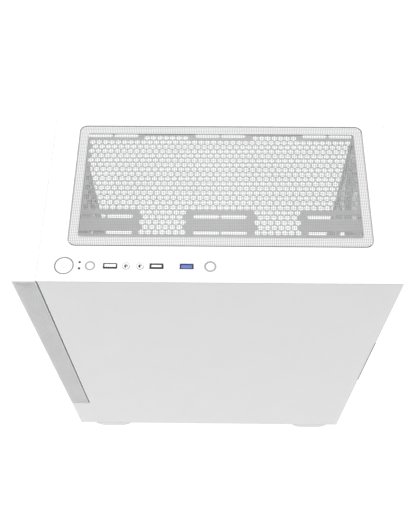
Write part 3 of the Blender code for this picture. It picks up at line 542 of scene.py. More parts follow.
def clear_glass(name, tint):
    """Thin polished glass: what is behind it shows through, under a reflection outside."""
    made = bpy.data.materials.new(name)
    made.use_nodes = True
    tree = made.node_tree
    tree.nodes.remove(tree.nodes["Principled BSDF"])
    through = shader_node(tree, "BsdfTransparent", {"Color": (*tint, 1.0)})
    shine = shader_node(tree, "BsdfGlossy")
    smears = noise(tree, 30.0, 4.0)
    gloss = spread(tree, smears, "Fac", 0.01, 0.05)
    link(tree, gloss, "Result", shine, "Roughness")
    fresnel = shader_node(tree, "Fresnel", {"IOR": 1.35})
    side = shader_node(tree, "NewGeometry")
    entering = shader_node(tree, "Math", {0: 1.0}, operation="SUBTRACT")
    link(tree, side, "Backfacing", entering, 1)
    outside = shader_node(tree, "Math", operation="MULTIPLY")
    link(tree, fresnel, "Fac", outside, 0)
    link(tree, entering, "Value", outside, 1)
    mix = shader_node(tree, "MixShader")
    link(tree, outside, "Value", mix, 0)
    link(tree, through, "BSDF", mix, 1)
    link(tree, shine, "BSDF", mix, 2)
    link(tree, mix, "Shader", tree.nodes["Material Output"], "Surface")
    return made


STEEL_WHITE = surface("white_powder_coat", (0.785, 0.785, 0.79), 0.42, 0.0, 0.008, 0.9, 0.10)
STEEL_INSIDE = surface("white_coat_inside", (0.78, 0.78, 0.785), 0.5, 0.0, 0.012, 0.9, 0.10)
PLASTIC_WHITE = surface("white_moulding", (0.80, 0.80, 0.80), 0.45, 0.0, 0.008, 0.25, 0.12)
PLASTIC_FROST = surface("frosted_moulding", (0.82, 0.84, 0.86), 0.32, 0.0, 0.02, 0.6, 0.05)
MESH_COAT = surface("mesh_coat", (0.84, 0.84, 0.845), 0.5, 0.0, 0.02, 0.3, 0.10)
# The vent sheet is the same white powder coat as the top sheet; this darker tone is painted shade
# under the filter net.
VENT_PAINTED_SHADE = surface("vent_painted_shade", (0.53, 0.53, 0.532), 0.45, 0.0, 0.01, 0.9, 0.10)
NET = surface("filter_net", (0.40, 0.40, 0.403), 0.6, 0.0, 0.03, 0.2, 0.15)
FILTER_FILM = woven("filter_film", (0.74, 0.74, 0.74), (0.38, 0.38, 0.38), 1.9)
MAGNET = surface("filter_magnet", (0.20, 0.20, 0.205), 0.8, 0.0, 0.04, 0.5, 0.2)
ENAMEL = surface("glass_enamel", (0.80, 0.80, 0.80), 0.35, 0.0, 0.01, 0.6, 0.05)
GLASS = clear_glass("clear_glass", (0.98, 0.988, 0.985))
RUBBER = surface("foot_rubber", (0.42, 0.42, 0.43), 0.85, 0.0, 0.05, 0.5, 0.3)
BLACK = surface("black_moulding", (0.018, 0.018, 0.019), 0.4, 0.0, 0.15, 0.3, 0.12)
GREY = surface("grey_moulding", (0.32, 0.32, 0.33), 0.5, 0.0, 0.05, 0.3, 0.12)
NAVY = surface("navy_moulding", (0.02, 0.03, 0.12), 0.4, 0.0, 0.06, 0.3, 0.08)
# Painted shade of the gaps round the buttons and jacks; the grey one also colours the jacks' grey
# throats.
GAP_SHADE_DARK = surface("painted_gap_shade_dark", (0.24, 0.24, 0.245), 0.5, 0.0, 0.04, 0.3, 0.1)
GREY_TRIM_AND_GAP_SHADE = surface("grey_trim_and_painted_gap_shade", (0.32, 0.32, 0.325), 0.5, 0.0, 0.04, 0.3, 0.1)
# Painted shade of the grip notch in the steel side's rear edge.
GRIP_PAINTED_SHADE = surface("grip_painted_shade", (0.12, 0.12, 0.122), 0.55, 0.0, 0.05, 0.3, 0.12)
BLUE = surface("blue_moulding", (0.11, 0.16, 0.44), 0.38, 0.0, 0.06, 0.3, 0.08)
NICKEL = curvature_toned_edges(
    surface("nickel_plate", (0.72, 0.72, 0.73), 0.26, 1.0, 0.04, 0.4, 0.10), (0.9, 0.9, 0.9)
)
SCREW_STEEL = curvature_toned_edges(
    surface("screw_steel", (0.66, 0.66, 0.67), 0.32, 1.0, 0.05, 0.3, 0.15), (0.9, 0.9, 0.9)
)
ALUMINIUM = brushed("brushed_aluminium", (0.80, 0.81, 0.82), 0.34, "Z")
ALUMINIUM_FINS = brushed("fin_aluminium", (0.82, 0.83, 0.84), 0.30, "X")
BOARD = board_look("white_board", (0.60, 0.61, 0.625), (0.47, 0.49, 0.515))
CHIP = surface("chip_package", (0.03, 0.03, 0.033), 0.55, 0.0, 0.1, 0.3, 0.2)
GOLD = surface("gold_contacts", (0.83, 0.62, 0.28), 0.3, 1.0, 0.05, 0.3, 0.1)
DARK_GOLD = surface("shaded_contacts", (0.10, 0.09, 0.07), 0.4, 1.0, 0.05, 0.3, 0.1)
COPPER = surface("copper_core", (0.80, 0.45, 0.30), 0.3, 1.0, 0.05, 0.3, 0.1)
SLEEVE = braided("white_sleeve", (0.74, 0.74, 0.75))
HUB_LABEL = surface("fan_label", (0.62, 0.63, 0.65), 0.35, 0.0, 0.02, 0.8, 0.03)

# The material slot listed for each look; a piece may name another
LOOKS_BY_SLOT = {
    "white_steel": (STEEL_WHITE, STEEL_INSIDE, VENT_PAINTED_SHADE),
    "white_plastic": (PLASTIC_WHITE, FILTER_FILM, SLEEVE, HUB_LABEL),
    "frosted_plastic": (PLASTIC_FROST,),
    "black_plastic": (BLACK, GREY, GRIP_PAINTED_SHADE, GAP_SHADE_DARK, GREY_TRIM_AND_GAP_SHADE),
    "blue_plastic": (BLUE,),
    "mesh_white": (MESH_COAT, NET),
    "rubber_pad": (MAGNET, RUBBER),
    "tempered_glass": (GLASS, ENAMEL),
    "bare_steel": (NICKEL, SCREW_STEEL, GOLD, DARK_GOLD, NAVY),
    "aluminium": (ALUMINIUM, ALUMINIUM_FINS, COPPER),
    "circuit_board": (BOARD, CHIP),
}
SLOTS = {look.name: slot for slot, looks in LOOKS_BY_SLOT.items() for look in looks}

# ---------------------------------------------------------------- camera, light and floor

CAMERA_AT = (447.8, 7.2, 1148.1)
CAMERA_LOOK = (-0.48741, -0.01174, -0.87309)
CAMERA_UP = (-0.87309, -0.00727, 0.48751)
CAMERA_LENS = 53.12


def camera():
    """The camera that stands where the photo was taken from."""
    made = bpy.data.objects.new("camera", bpy.data.cameras.new("camera"))
    back = -Vector(CAMERA_LOOK).normalized()
    right = Vector(CAMERA_UP).cross(back).normalized()
    up = back.cross(right)
    turn = Matrix((right, up, back)).transposed().to_4x4()
    made.matrix_world = moved(CAMERA_AT) @ turn
    made.data.lens = CAMERA_LENS
    made.data.sensor_width = 36.0
    made.data.clip_start = 0.02
    made.data.clip_end = 60.0
    bpy.context.scene.collection.objects.link(made)
    bpy.context.scene.camera = made


WORLD_LIGHT = 0.48
OVERHEAD = 2.65
OVERHEAD_ANGLE = 3.0
FRONT_LIGHT = 12.0
FLOOR_GLOW = 0.92
GLASS_SIDE_LIGHT = 12.0
PANEL_LIGHTS = (
    ("front_panel", FRONT_LIGHT, (0.1, -2.2, 0.7)),
    ("glass_side_panel", GLASS_SIDE_LIGHT, (-2.4, 0.1, 1.1)),
)
PANEL_LIGHT_SIZE = (1.6, 1.2)
LIT_SPOT = Vector((0, 0, 0.25))


def lights():
    """A white room, a light straight above, and soft panels at the front and the glass side."""
    scene = bpy.context.scene
    scene.view_settings.view_transform = "Standard"
    world = bpy.data.worlds.new("room")
    world.use_nodes = True
    world.node_tree.nodes["Background"].inputs["Color"].default_value = (1.0, 1.0, 1.0, 1.0)
    world.node_tree.nodes["Background"].inputs["Strength"].default_value = WORLD_LIGHT
    scene.world = world
    sun = bpy.data.lights.new("overhead", "SUN")
    sun.energy = OVERHEAD
    sun.angle = math.radians(OVERHEAD_ANGLE)
    made = bpy.data.objects.new("overhead", sun)
    made.location = (0, 0, 3)
    scene.collection.objects.link(made)
    for name, energy, spot in PANEL_LIGHTS:
        panel = bpy.data.lights.new(name, "AREA")
        panel.shape = "RECTANGLE"
        panel.size, panel.size_y = PANEL_LIGHT_SIZE
        panel.energy = energy
        made = bpy.data.objects.new(name, panel)
        made.location = spot
        made.rotation_euler = (Vector(spot) - LIT_SPOT).to_track_quat("Z", "Y").to_euler()
        scene.collection.objects.link(made)


def floor():
    """A plain pale floor, faintly mottled, that glows a little as a light table does."""
    mesh = bpy.data.meshes.new("floor")
    reach = 9.0
    corners = [(-reach, -reach, 0), (reach, -reach, 0), (reach, reach, 0), (-reach, reach, 0)]
    mesh.from_pydata(corners, [], [(0, 1, 2, 3)])
    made = bpy.data.objects.new("floor", mesh)
    paper = surface("floor_paper", (0.20, 0.20, 0.20), 0.9, 0.0, 0.01, 2.0, 0.02)
    shader = paper.node_tree.nodes["Principled BSDF"]
    shader.inputs["Emission Color"].default_value = (1.0, 1.0, 1.0, 1.0)
    shader.inputs["Emission Strength"].default_value = FLOOR_GLOW
    mesh.materials.append(paper)
    bpy.context.scene.collection.objects.link(made)


camera()
lights()
floor()


# ---------------------------------------------------------------- top: panel, vent and filter

FILTER_X, FILTER_Y, FILTER_Z = spans("top_filter_frame")
FILTER_RADIUS = 7.0
WINDOW_X, WINDOW_Y = [grown(span, GAP) for span in spans("top_filter_mesh")[:2]]
RECESS_GAP = 1.0
PAN_TOP = TOP - 2.4
STRIP_X = middle(spans("power_button")[0])
HEX_PITCH = 7.0
HEX_ROW = HEX_PITCH * math.sqrt(3) / 2
HEX_RADIUS = 3.5
FIRST_HEX_ROW = SIDE - 89.56
SLOT_SIZE = (27.0, 4.5)
SLOT_PITCH_Y = 28.4
SLOT_CENTRES_Y = [FRONT + u for u in (89.5, 207.5, 325.5)]
SLOT_ROWS_X = [SIDE - w for w in (58.6, 78.3, 183.2)]
NEAR_SLOTS_X = SIDE - 86.0
FAR_SLOTS_X = SIDE - 176.0
SLOT_FIELD = 37.0


def vent_slots():
    """The pairs of fan mounting slots in the vent."""
    length, height = SLOT_SIZE
    loops = []
    for x in SLOT_ROWS_X:
        for centre in SLOT_CENTRES_Y:
            for side in (-1, 1):
                spot = (x, centre + side * SLOT_PITCH_Y / 2)
                loops.append(around(spot, height / 2, length / 2, height / 2 - 0.02, 6))
    return loops


def vent_hexagons():
    """The staggered hexagonal holes, left out around the slots."""
    loops = []
    margin = HEX_RADIUS + 0.6
    for row in range(-7, 17):
        x = FIRST_HEX_ROW - HEX_ROW * row
        if not WINDOW_X[0] + margin - 1.2 < x < WINDOW_X[1] - margin + 0.8:
            continue
        shift = HEX_PITCH / 2 if row % 2 else 0.0
        for column in range(-24, 25):
            y = SLOT_CENTRES_Y[1] + HEX_PITCH * column + shift
            if not WINDOW_Y[0] + margin - 2.0 < y < WINDOW_Y[1] - margin + 2.0:
                continue
            by_slots = any(abs(y - centre) < SLOT_FIELD for centre in SLOT_CENTRES_Y)
            near_slots = x > NEAR_SLOTS_X
            far_slots = x < FAR_SLOTS_X
            if by_slots and (near_slots or far_slots):
                continue
            loops.append(circle((x, y), HEX_RADIUS, 6, 0.0))
    return loops


def port_holes():
    """The holes of the control strip: round for the buttons and jacks, long for the sockets."""
    loops = []
    for node in ("power_button", "reset_button", "light_button"):
        y = spans(node)[1]
        skirt = (y[1] - y[0]) / 2
        loops.append(circle((STRIP_X, middle(y)), skirt - 1.0, 48))
    for node in ("power_led", "drive_led"):
        x, y, _ = spans(node)
        loops.append(circle((middle(x), middle(y)), 1.3, 20))
    for node in ("microphone_jack", "headphone_jack"):
        loops.append(circle((STRIP_X, middle(spans(node)[1])), 4.0, 32))
    for node in ("usb_socket_front", "usb_socket_rear", "usb3_socket"):
        loops.append(around((STRIP_X, middle(spans(node)[1])), 3.2, 7.2, 0.7, 3))
    return loops


def top_panel():
    """The top sheet with the filter's shallow pan, whose floor is the perforated vent."""
    recess_x = grown(FILTER_X, RECESS_GAP)
    recess_y = grown(FILTER_Y, RECESS_GAP)
    radius = FILTER_RADIUS + RECESS_GAP
    recess = rectangle(recess_x, recess_y, radius, 8)
    outline = rectangle((-SIDE, SIDE), (CASE_FRONT, REAR), 0.7, 3)
    sheet = plate(outline, TOP - SHEET, TOP, "Z", [recess, *port_holes()], 0.28, 2)
    wall = rectangle(grown(recess_x, SHEET), grown(recess_y, SHEET), radius + SHEET, 8)
    side = plate(wall, PAN_TOP - SHEET, TOP - SHEET * 0.6, "Z", [recess], 0.05)
    pan = rectangle(grown(recess_x, 0.2), grown(recess_y, 0.2), radius, 8)
    floor_sheet = plate(pan, PAN_TOP - SHEET, PAN_TOP, "Z", [*vent_slots(), *vent_hexagons()], 0.1)
    piece("top_sheet", [sheet, side], STEEL_WHITE, ["top_panel"])
    piece("top_vent", floor_sheet, VENT_PAINTED_SHADE)


NET_PITCH = 1.9
NET_THREAD = 0.46
NET_TOP = TOP - 0.2
MAGNET_THICK = 1.0


def net_bars(along, across, radius, low, high, axis):
    """Parallel threads along one axis, each cut short where the filter's corners are round."""
    bars = []
    count = int((across[1] - across[0]) / NET_PITCH)
    start = middle(across) - NET_PITCH * (count - 1) / 2
    for i in range(count):
        at = start + NET_PITCH * i
        edge = min(at - across[0], across[1] - at)
        short = 0.0
        if edge < radius:
            short = radius - math.sqrt(max(0.0, radius**2 - (radius - edge) ** 2))
        ends = (along[0] + short, along[1] - short)
        width = (at - NET_THREAD / 2, at + NET_THREAD / 2)
        x, y = (ends, width) if axis == "X" else (width, ends)
        bars.append(block(x, y, (low, high), 0.0))
    return bars


def top_filter():
    """The magnetic dust filter: a flat strip round the edge, under fine net that covers it all."""
    outline = rectangle(FILTER_X, FILTER_Y, FILTER_RADIUS, 8)
    window = rectangle(WINDOW_X, WINDOW_Y, 3.0, 6)
    seam = FILTER_Z[0] + MAGNET_THICK
    magnet_window = rectangle(grown(WINDOW_X, 5.0), grown(WINDOW_Y, 5.0), 3.0, 6)
    magnet = plate(outline, FILTER_Z[0], seam, "Z", [magnet_window], 0.1)
    piece("filter_magnet", magnet, MAGNET, body="top_filter")
    film = rectangle(grown(FILTER_X, -0.1), grown(FILTER_Y, -0.1), FILTER_RADIUS, 8)
    strip = plate(film, seam, NET_TOP, "Z", [window], 0.1)
    piece("filter_strip", strip, FILTER_FILM, ["top_filter_frame"], "top_filter")
    x = grown(WINDOW_X, 1.5)
    y = grown(WINDOW_Y, 1.5)
    radius = 3.0
    threads = net_bars(y, x, radius, NET_TOP - 0.32, NET_TOP - 0.14, "Y")
    threads += net_bars(x, y, radius, NET_TOP - 0.20, NET_TOP - 0.02, "X")
    piece("filter_net", threads, NET, ["top_filter_mesh"], "top_filter", sharp=60)


# ---------------------------------------------------------------- control strip


def push_button(node, gap, ring_width, gap_shade_look, mark):
    """A push button with a dished cap, a skirt under the panel and a switch stem."""
    y = middle(spans(node)[1])
    low = spans(node)[2][0]
    skirt = (spans(node)[1][1] - spans(node)[1][0]) / 2
    hole = skirt - 1.0
    radius = hole - max(gap, ring_width)
    under = TOP - SHEET - GAP
    profile = [
        (0.0, under - 2.4),
        (skirt, under - 2.4),
        (skirt, under - 0.1),
        (radius, under - 0.1),
        (radius, TOP - 0.45),
        (radius - 0.12, TOP - 0.16),
        (radius - 0.45, TOP - 0.02),
        (radius - 0.9, TOP),
        (radius * 0.6, TOP - 0.12),
        (0.0, TOP - 0.2),
    ]
    cap = turned(profile, (STRIP_X, y, 0), "Z", 64)
    stem = turned(
        [(0, low), (2.0, low), (2.2, low + 0.3), (2.2, under - 2), (0, under - 2)], (STRIP_X, y, 0)
    )
    piece(node + "_cap", [cap, stem], PLASTIC_WHITE, [node], node)
    # A ring in the gap round the cap, coloured with the gap's painted shade.
    inside, outside = radius + 0.05, hole - 0.05
    level = TOP - 0.35
    collar = [(inside, level - 0.8), (outside, level - 0.8), (outside, level - 0.1)]
    collar += [(outside - 0.1, level), (inside, level), (inside, level - 0.8)]
    piece(node + "_ring", turned(collar, (STRIP_X, y, 0), "Z", 64), gap_shade_look, body=node)
    if mark:
        ring = arc((STRIP_X, y), 2.4, 205, 515, 28)
        points = [(px, py, TOP - 0.12) for px, py in ring]
        arms = [pipe(points, 0.16, 6)]
        arms.append(
            pipe([(STRIP_X - 1.1, y, TOP - 0.12), (STRIP_X - 3.2, y, TOP - 0.10)], 0.16, 6)
        )
        piece(node + "_mark", arms, GREY, body=node, slot="white_plastic")


def usb_socket(node, wall, shell_look, tongue_look, tongue_x):
    """An upright USB socket: a shell, its dark floor and the tongue with four contacts."""
    x, y, z = spans(node)
    centre = (middle(x), middle(y))
    mouth = around(centre, 2.9 - wall, 6.9 - wall, 0.4, 4)
    shell = plate(around(centre, 2.9, 6.9, 0.6, 4), z[0], z[1], "Z", [mouth], 0.08, 2)
    bottom = block(grown(x, -0.3), grown(y, -0.3), (z[0], z[0] + 1.6), 0.1)
    piece(node + "_shell", [shell, bottom], shell_look, [node], slot="bare_steel")
    floor_x = about(centre[0], 2.85 - wall)
    floor_y = about(centre[1], 6.85 - wall)
    piece(node + "_floor", block(floor_x, floor_y, (z[1] - 7.0, z[1] - 6.2), 0.1), BLACK)
    tongue_y = about(centre[1], 6.3 - wall)
    tongue = block(tongue_x, tongue_y, (z[1] - 6.4, z[1] - 0.35), 0.2)
    piece(node + "_tongue", tongue, tongue_look, slot="white_plastic")
    contacts = []
    for at in spaced(centre[1] - 3.75, 2.5, 4):
        spot = (tongue_x[1] - 0.1, tongue_x[1] + 0.12)
        contacts.append(block(spot, about(at, 0.5), (z[1] - 6.0, z[1] - 1.2), 0.05))
    piece(node + "_contacts", contacts, DARK_GOLD)


def jack(node):
    """A 3.5 mm jack: a white collar, a grey throat and the bore with its spring contact."""
    x, y, z = spans(node)
    centre = (middle(x), middle(y), 0)
    profile = [
        (1.95, z[0]), (3.35, z[0]), (3.35, z[1] - 0.2), (3.2, z[1]), (2.3, z[1]),
        (1.95, z[1] - 0.25),
    ]
    collar = turned([*profile, profile[0]], centre, "Z", 40)
    # A ring in the gap round the collar, coloured with the gap's painted shade.
    edge = tube(3.4, 3.68, (z[1] - 1.2, z[1] - 0.35), centre, "Z", 40)
    piece(node + "_edge", edge, GREY_TRIM_AND_GAP_SHADE)
    piece(node + "_collar", collar, PLASTIC_WHITE, [node])
    throat = [
        (1.6, z[0] + 0.2), (1.9, z[0] + 0.2), (1.9, z[1] - 0.5), (1.6, z[1] - 0.6),
        (1.6, z[0] + 0.2),
    ]
    piece(node + "_throat", turned(throat, centre, "Z", 32), GREY_TRIM_AND_GAP_SHADE)
    piece(node + "_bore", rod(1.55, (z[1] - 5.0, z[1] - 3.6), centre), BLACK)
    spring = block(
        about(centre[0], 1.3), (centre[1] - 0.2, centre[1] + 1.5), (z[1] - 4, z[1] - 0.5), 0.3
    )
    piece(node + "_spring", spring, NICKEL)


def control_strip():
    """The buttons, sockets, jacks and lights of the top panel, and the board below them."""
    push_button("power_button", 1.0, 1.3, GAP_SHADE_DARK, True)
    push_button("reset_button", 0.8, 1.5, GREY_TRIM_AND_GAP_SHADE, False)
    push_button("light_button", 1.2, 1.7, GREY_TRIM_AND_GAP_SHADE, False)
    usb_socket("usb_socket_front", 0.45, BLACK, PLASTIC_WHITE, (STRIP_X - 2.3, STRIP_X + 0.9))
    usb_socket("usb_socket_rear", 1.15, BLACK, PLASTIC_WHITE, (STRIP_X - 1.6, STRIP_X + 0.8))
    usb_socket("usb3_socket", 0.6, NAVY, BLUE, about(STRIP_X, 1.9))
    jack("microphone_jack")
    jack("headphone_jack")
    for node in ("power_led", "drive_led"):
        x, y, z = spans(node)
        profile = [
            (0, z[0]), (0.95, z[0]), (0.95, z[1] - 0.7), (0.8, z[1] - 0.25), (0.45, z[1] - 0.05),
            (0, z[1]),
        ]
        # The frosted light pipe is coloured black: painted shade of the unlit case below it.
        lens = turned(profile, (middle(x), middle(y), 0), "Z", 24)
        piece(node + "_lens", lens, BLACK, [node], slot="frosted_plastic")
    x, y, z = spans("io_board")
    holes = [circle((STRIP_X, at), 1.6, 20) for at in (y[0] + 5.0, y[1] - 5.0)]
    piece("front_io_board", plate(rectangle(x, y, 1.0), *z, "Z", holes, 0.1), BOARD, ["io_board"])
    header = block((x[0] + 2, x[1] - 2), (y[1] - 22, y[1] - 13), (z[0] - 7.5, z[0] - 0.1), 0.4)
    piece("front_io_header", header, PLASTIC_WHITE)


# ---------------------------------------------------------------- front: bezel and mesh

BEZEL_BACK = -170.2
CAP = 3.0
CHIN_TOP = spans("front_mesh")[2][0] - GAP
CORNER = 3.0
BEZEL_WALL = 3.0
PEGS = [(x, z) for x in (-88.0, 88.0) for z in (60.0, 270.0, 462.0)]


def bezel_outline():
    """The bezel's plan: square behind, with its two front corners rounded."""
    left = arc((-SIDE + CORNER, FRONT + CORNER), CORNER, 180, 270, 8)
    right = arc((SIDE - CORNER, FRONT + CORNER), CORNER, 270, 360, 8)
    return [(-SIDE, BEZEL_BACK), *left, *right, (SIDE, BEZEL_BACK)]


def front_bezel():
    """The moulded front: a cap, a hollow chin, a rear frame, the mesh's side liners and pegs."""
    cap = plate(bezel_outline(), TOP - CAP, TOP, "Z", (), 0.9, 4)
    lip = block(
        (-SIDE + 1.0, SIDE - 1.0),
        (BEZEL_BACK - 3.0, CASE_FRONT - 0.1),
        (TOP - 1.9, TOP - 1.05),
        0.1,
    )
    chin = plate(bezel_outline(), BASE, CHIN_TOP, "Z", (), 1.0, 4)
    inner_x = grown((-SIDE, SIDE), -BEZEL_WALL)
    hollow = block(
        inner_x,
        (FRONT + BEZEL_WALL, BEZEL_BACK + 5),
        (BASE + BEZEL_WALL, CHIN_TOP - BEZEL_WALL),
        1.0,
    )
    chin = cut(chin, hollow)
    opening = rectangle((-80.0, 80.0), (CHIN_TOP + 4.0, TOP - CAP - 6.5), 4.0)
    outline = rectangle(grown((-SIDE, SIDE), -1.6), (CHIN_TOP - 2.0, TOP - 1.5))
    rear_frame = plate(outline, BEZEL_BACK - 4.4, BEZEL_BACK - 0.4, "Y", [opening], 0.4, 2)
    parts = [cap, chin, rear_frame]
    for side in (-1, 1):
        liner = sorted((side * 101.2, side * 102.8))
        parts.append(
            block(liner, (FRONT + 4.5, BEZEL_BACK - 0.8), (CHIN_TOP - 1.0, TOP - CAP + 0.5), 0.2)
        )
    for x, z in PEGS:
        root = FRONT + BEZEL_WALL / 2 if z < CHIN_TOP else BEZEL_BACK - 2.0
        length = CASE_FRONT + 7.0 - root
        profile = [
            (0, 0), (2.7, 0), (2.7, length - 4.5), (2.7, length - 2.0), (1.6, length), (0, length)
        ]
        parts.append(turned(profile, (x, root, z), "Y", 20))
    skirt_y = (BEZEL_BACK - 1.2, PANEL_Y[0] - 0.12)
    parts.append(block((-SIDE + 0.05, -SIDE + 1.6), skirt_y, (BASE + 1.0, CHIN_TOP), 0.1))
    bend = [(1.2 * (i / 6) ** 2, 1.2 * (1 - i / 6) ** 2) for i in range(7)]
    skirt = [(SIDE - 1.6, skirt_y[0]), (SIDE - 0.03, skirt_y[0])]
    skirt += [(SIDE - 0.03 - across, PANEL_Y[0] - 0.05 + along) for across, along in bend]
    skirt.append((SIDE - 1.6, skirt_y[1]))
    parts.append(plate(skirt, BASE + 1.0, CHIN_TOP, "Z", (), 0.0))
    for x in spaced(-60.0, 30.0, 5):
        parts.append(
            block(about(x, 0.8), (FRONT + 2.5, BEZEL_BACK - 0.5), (BASE + 2.5, BASE + 12.0), 0.2)
        )
    piece("bezel_body", parts, PLASTIC_WHITE, ["front_bezel"], "front_bezel")
    piece("bezel_lip", lip, PLASTIC_WHITE, body="front_bezel")


MESH_PITCH = 2.1
MESH_WIRE = 0.68
MESH_DEPTH = 0.7
MESH_END = BEZEL_BACK


def wrapped(distance, height, depth):
    """A point of the mesh: distance runs along the U from its left rear edge, depth inwards."""
    straight = MESH_END - (FRONT + CORNER)
    quarter = CORNER * QUARTER
    front_run = 2 * (SIDE - CORNER)
    radius = CORNER - depth
    if distance < straight:
        return (-SIDE + depth, MESH_END - distance, height)
    distance -= straight
    if distance < quarter:
        turn = math.pi + distance / CORNER
        centre = (-SIDE + CORNER, FRONT + CORNER)
        return (centre[0] + radius * math.cos(turn), centre[1] + radius * math.sin(turn), height)
    distance -= quarter
    if distance < front_run:
        return (-SIDE + CORNER + distance, FRONT + depth, height)
    distance -= front_run
    if distance < quarter:
        turn = 1.5 * math.pi + distance / CORNER
        centre = (SIDE - CORNER, FRONT + CORNER)
        return (centre[0] + radius * math.cos(turn), centre[1] + radius * math.sin(turn), height)
    return (SIDE - depth, FRONT + CORNER + distance - quarter, height)


def mesh_length():
    """How far the mesh runs around the U."""
    return 2 * (MESH_END - FRONT - CORNER) + 2 * CORNER * QUARTER + 2 * (SIDE - CORNER)


def mesh_breaks():
    """The distances along the U where a wire has to bend."""
    straight = MESH_END - FRONT - CORNER
    quarter = CORNER * QUARTER
    front_run = 2 * (SIDE - CORNER)
    marks = [straight + quarter * i / 4 for i in range(5)]
    return marks + [straight + quarter + front_run + quarter * i / 4 for i in range(5)]


def mesh_wires():
    """Flat wires at 45 degrees each way, so that the holes between them are diamonds."""
    low, high = CHIN_TOP + GAP, TOP - CAP - GAP
    rise = high - low
    total = mesh_length()
    breaks = mesh_breaks()
    half = MESH_WIRE / math.sqrt(2)
    step = MESH_PITCH * math.sqrt(2)
    work = bmesh.new()
    for lean in (-1, 1):
        depths = (0.10, MESH_DEPTH) if lean > 0 else (0.22, MESH_DEPTH + 0.12)
        start = -rise if lean > 0 else 0.0
        count = int((total + rise) / step) + 1
        for i in range(count):
            foot = start + step * (i + 0.5)
            first = max(0.0, foot if lean > 0 else foot - rise)
            last = min(total, foot + rise if lean > 0 else foot)
            if last - first < 1.0:
                continue
            stops = [first, *[b for b in breaks if first + 0.01 < b < last - 0.01], last]
            rings = []
            for at in stops:
                height = low + (at - foot if lean > 0 else foot - at)
                ring = []
                for depth, offset in (
                    (depths[0], -half), (depths[0], half), (depths[1], half), (depths[1], -half)
                ):
                    spot = wrapped(at, min(high, max(low, height + offset)), depth)
                    ring.append(work.verts.new([value * MM for value in spot]))
                rings.append(ring)
            skinned(work, rings)
    bmesh.ops.recalc_face_normals(work, faces=work.faces)
    return finished(work, "wires")


def mesh_rim():
    """The plain rolled rim along the mesh's four edges."""
    low, high = CHIN_TOP + GAP, TOP - CAP - GAP
    total = mesh_length()
    stops = [0.0, *mesh_breaks(), total]
    bars = []
    for z in (low + 0.5, high - 0.5):
        bars.append(pipe([wrapped(at, z, 0.55) for at in stops], 0.5, 8))
    for at in (0.5, total - 0.5):
        bars.append(pipe([wrapped(at, low + 0.5, 0.55), wrapped(at, high - 0.5, 0.55)], 0.5, 8))
    return bars


def front_mesh():
    """The front's woven wire mesh with its rim."""
    piece("mesh_wires", mesh_wires(), MESH_COAT, ["front_mesh"], "front_bezel", sharp=60)
    piece("mesh_rim", mesh_rim(), MESH_COAT, body="front_bezel")


# ---------------------------------------------------------------- sides

_, PANEL_Y, PANEL_Z = spans("right_side_panel")
FLANGE = 14.0
HEM = 7.0
GRIP_Z = (212.5, 335.5)
GRIP_NOTCH = 1.6
SCREW_X = middle(spans("right_panel_screw_upper")[0])
SCREW_Z = [middle(spans("right_panel_screw_" + end)[2]) for end in ("lower", "upper")]


def screw_holes(x):
    """Cutters for the two screw holes in a side panel's rear flange."""
    return [rod(2.1, (-6, 6), (x, REAR, z), "Y", 24) for z in SCREW_Z]


def right_side():
    """The plain steel side: one sheet folded at all four edges, with a grip in its rear edge."""
    hem = SIDE - HEM
    inner = SIDE - SHEET
    outer_bend = 1.6
    inner_bend = 0.3
    loop = [
        (hem, PANEL_Y[0], 0.3),
        (SIDE, PANEL_Y[0], outer_bend),
        (SIDE, PANEL_Y[1], outer_bend),
        (SIDE - FLANGE, PANEL_Y[1], 0.3),
        (SIDE - FLANGE, PANEL_Y[1] - SHEET, 0.3),
        (inner, PANEL_Y[1] - SHEET, inner_bend),
        (inner, PANEL_Y[0] + SHEET, inner_bend),
        (hem, PANEL_Y[0] + SHEET, 0.3),
    ]
    panel = plate(bent(loop), *PANEL_Z, "Z", (), 0.3, 2)
    grip = block(
        (SIDE - FLANGE - 1, SIDE + 1), (PANEL_Y[1] - GRIP_NOTCH, PANEL_Y[1] + 5), GRIP_Z, 0.0
    )
    panel = cut(panel, grip, *screw_holes(SCREW_X))
    folds = []
    for low in (PANEL_Z[0] + 0.2, PANEL_Z[1] - SHEET - 0.2):
        folds.append(
            block((hem + 0.5, inner + 0.2), grown(PANEL_Y, -SHEET - 0.1), (low, low + SHEET), 0.1)
        )
    # A dark strip in the grip notch, coloured as the notch's painted shade.
    notch_shade_x = (SIDE - 4.5, SIDE - 0.6)
    liner = block(
        notch_shade_x, (PANEL_Y[1] - GRIP_NOTCH + 0.05, PANEL_Y[1] - 0.15), grown(GRIP_Z, -0.2), 0.15
    )
    piece("grip_notch_shade", liner, GRIP_PAINTED_SHADE, body="right_panel")
    piece("steel_side", [panel, *folds], STEEL_WHITE, ["right_side_panel"], "right_panel")


GLASS_X, GLASS_Y, GLASS_Z = spans("left_glass")
ENAMEL_FRONT = 22.0
ENAMEL_REAR = 14.5
ENAMEL_ENDS = 16.0


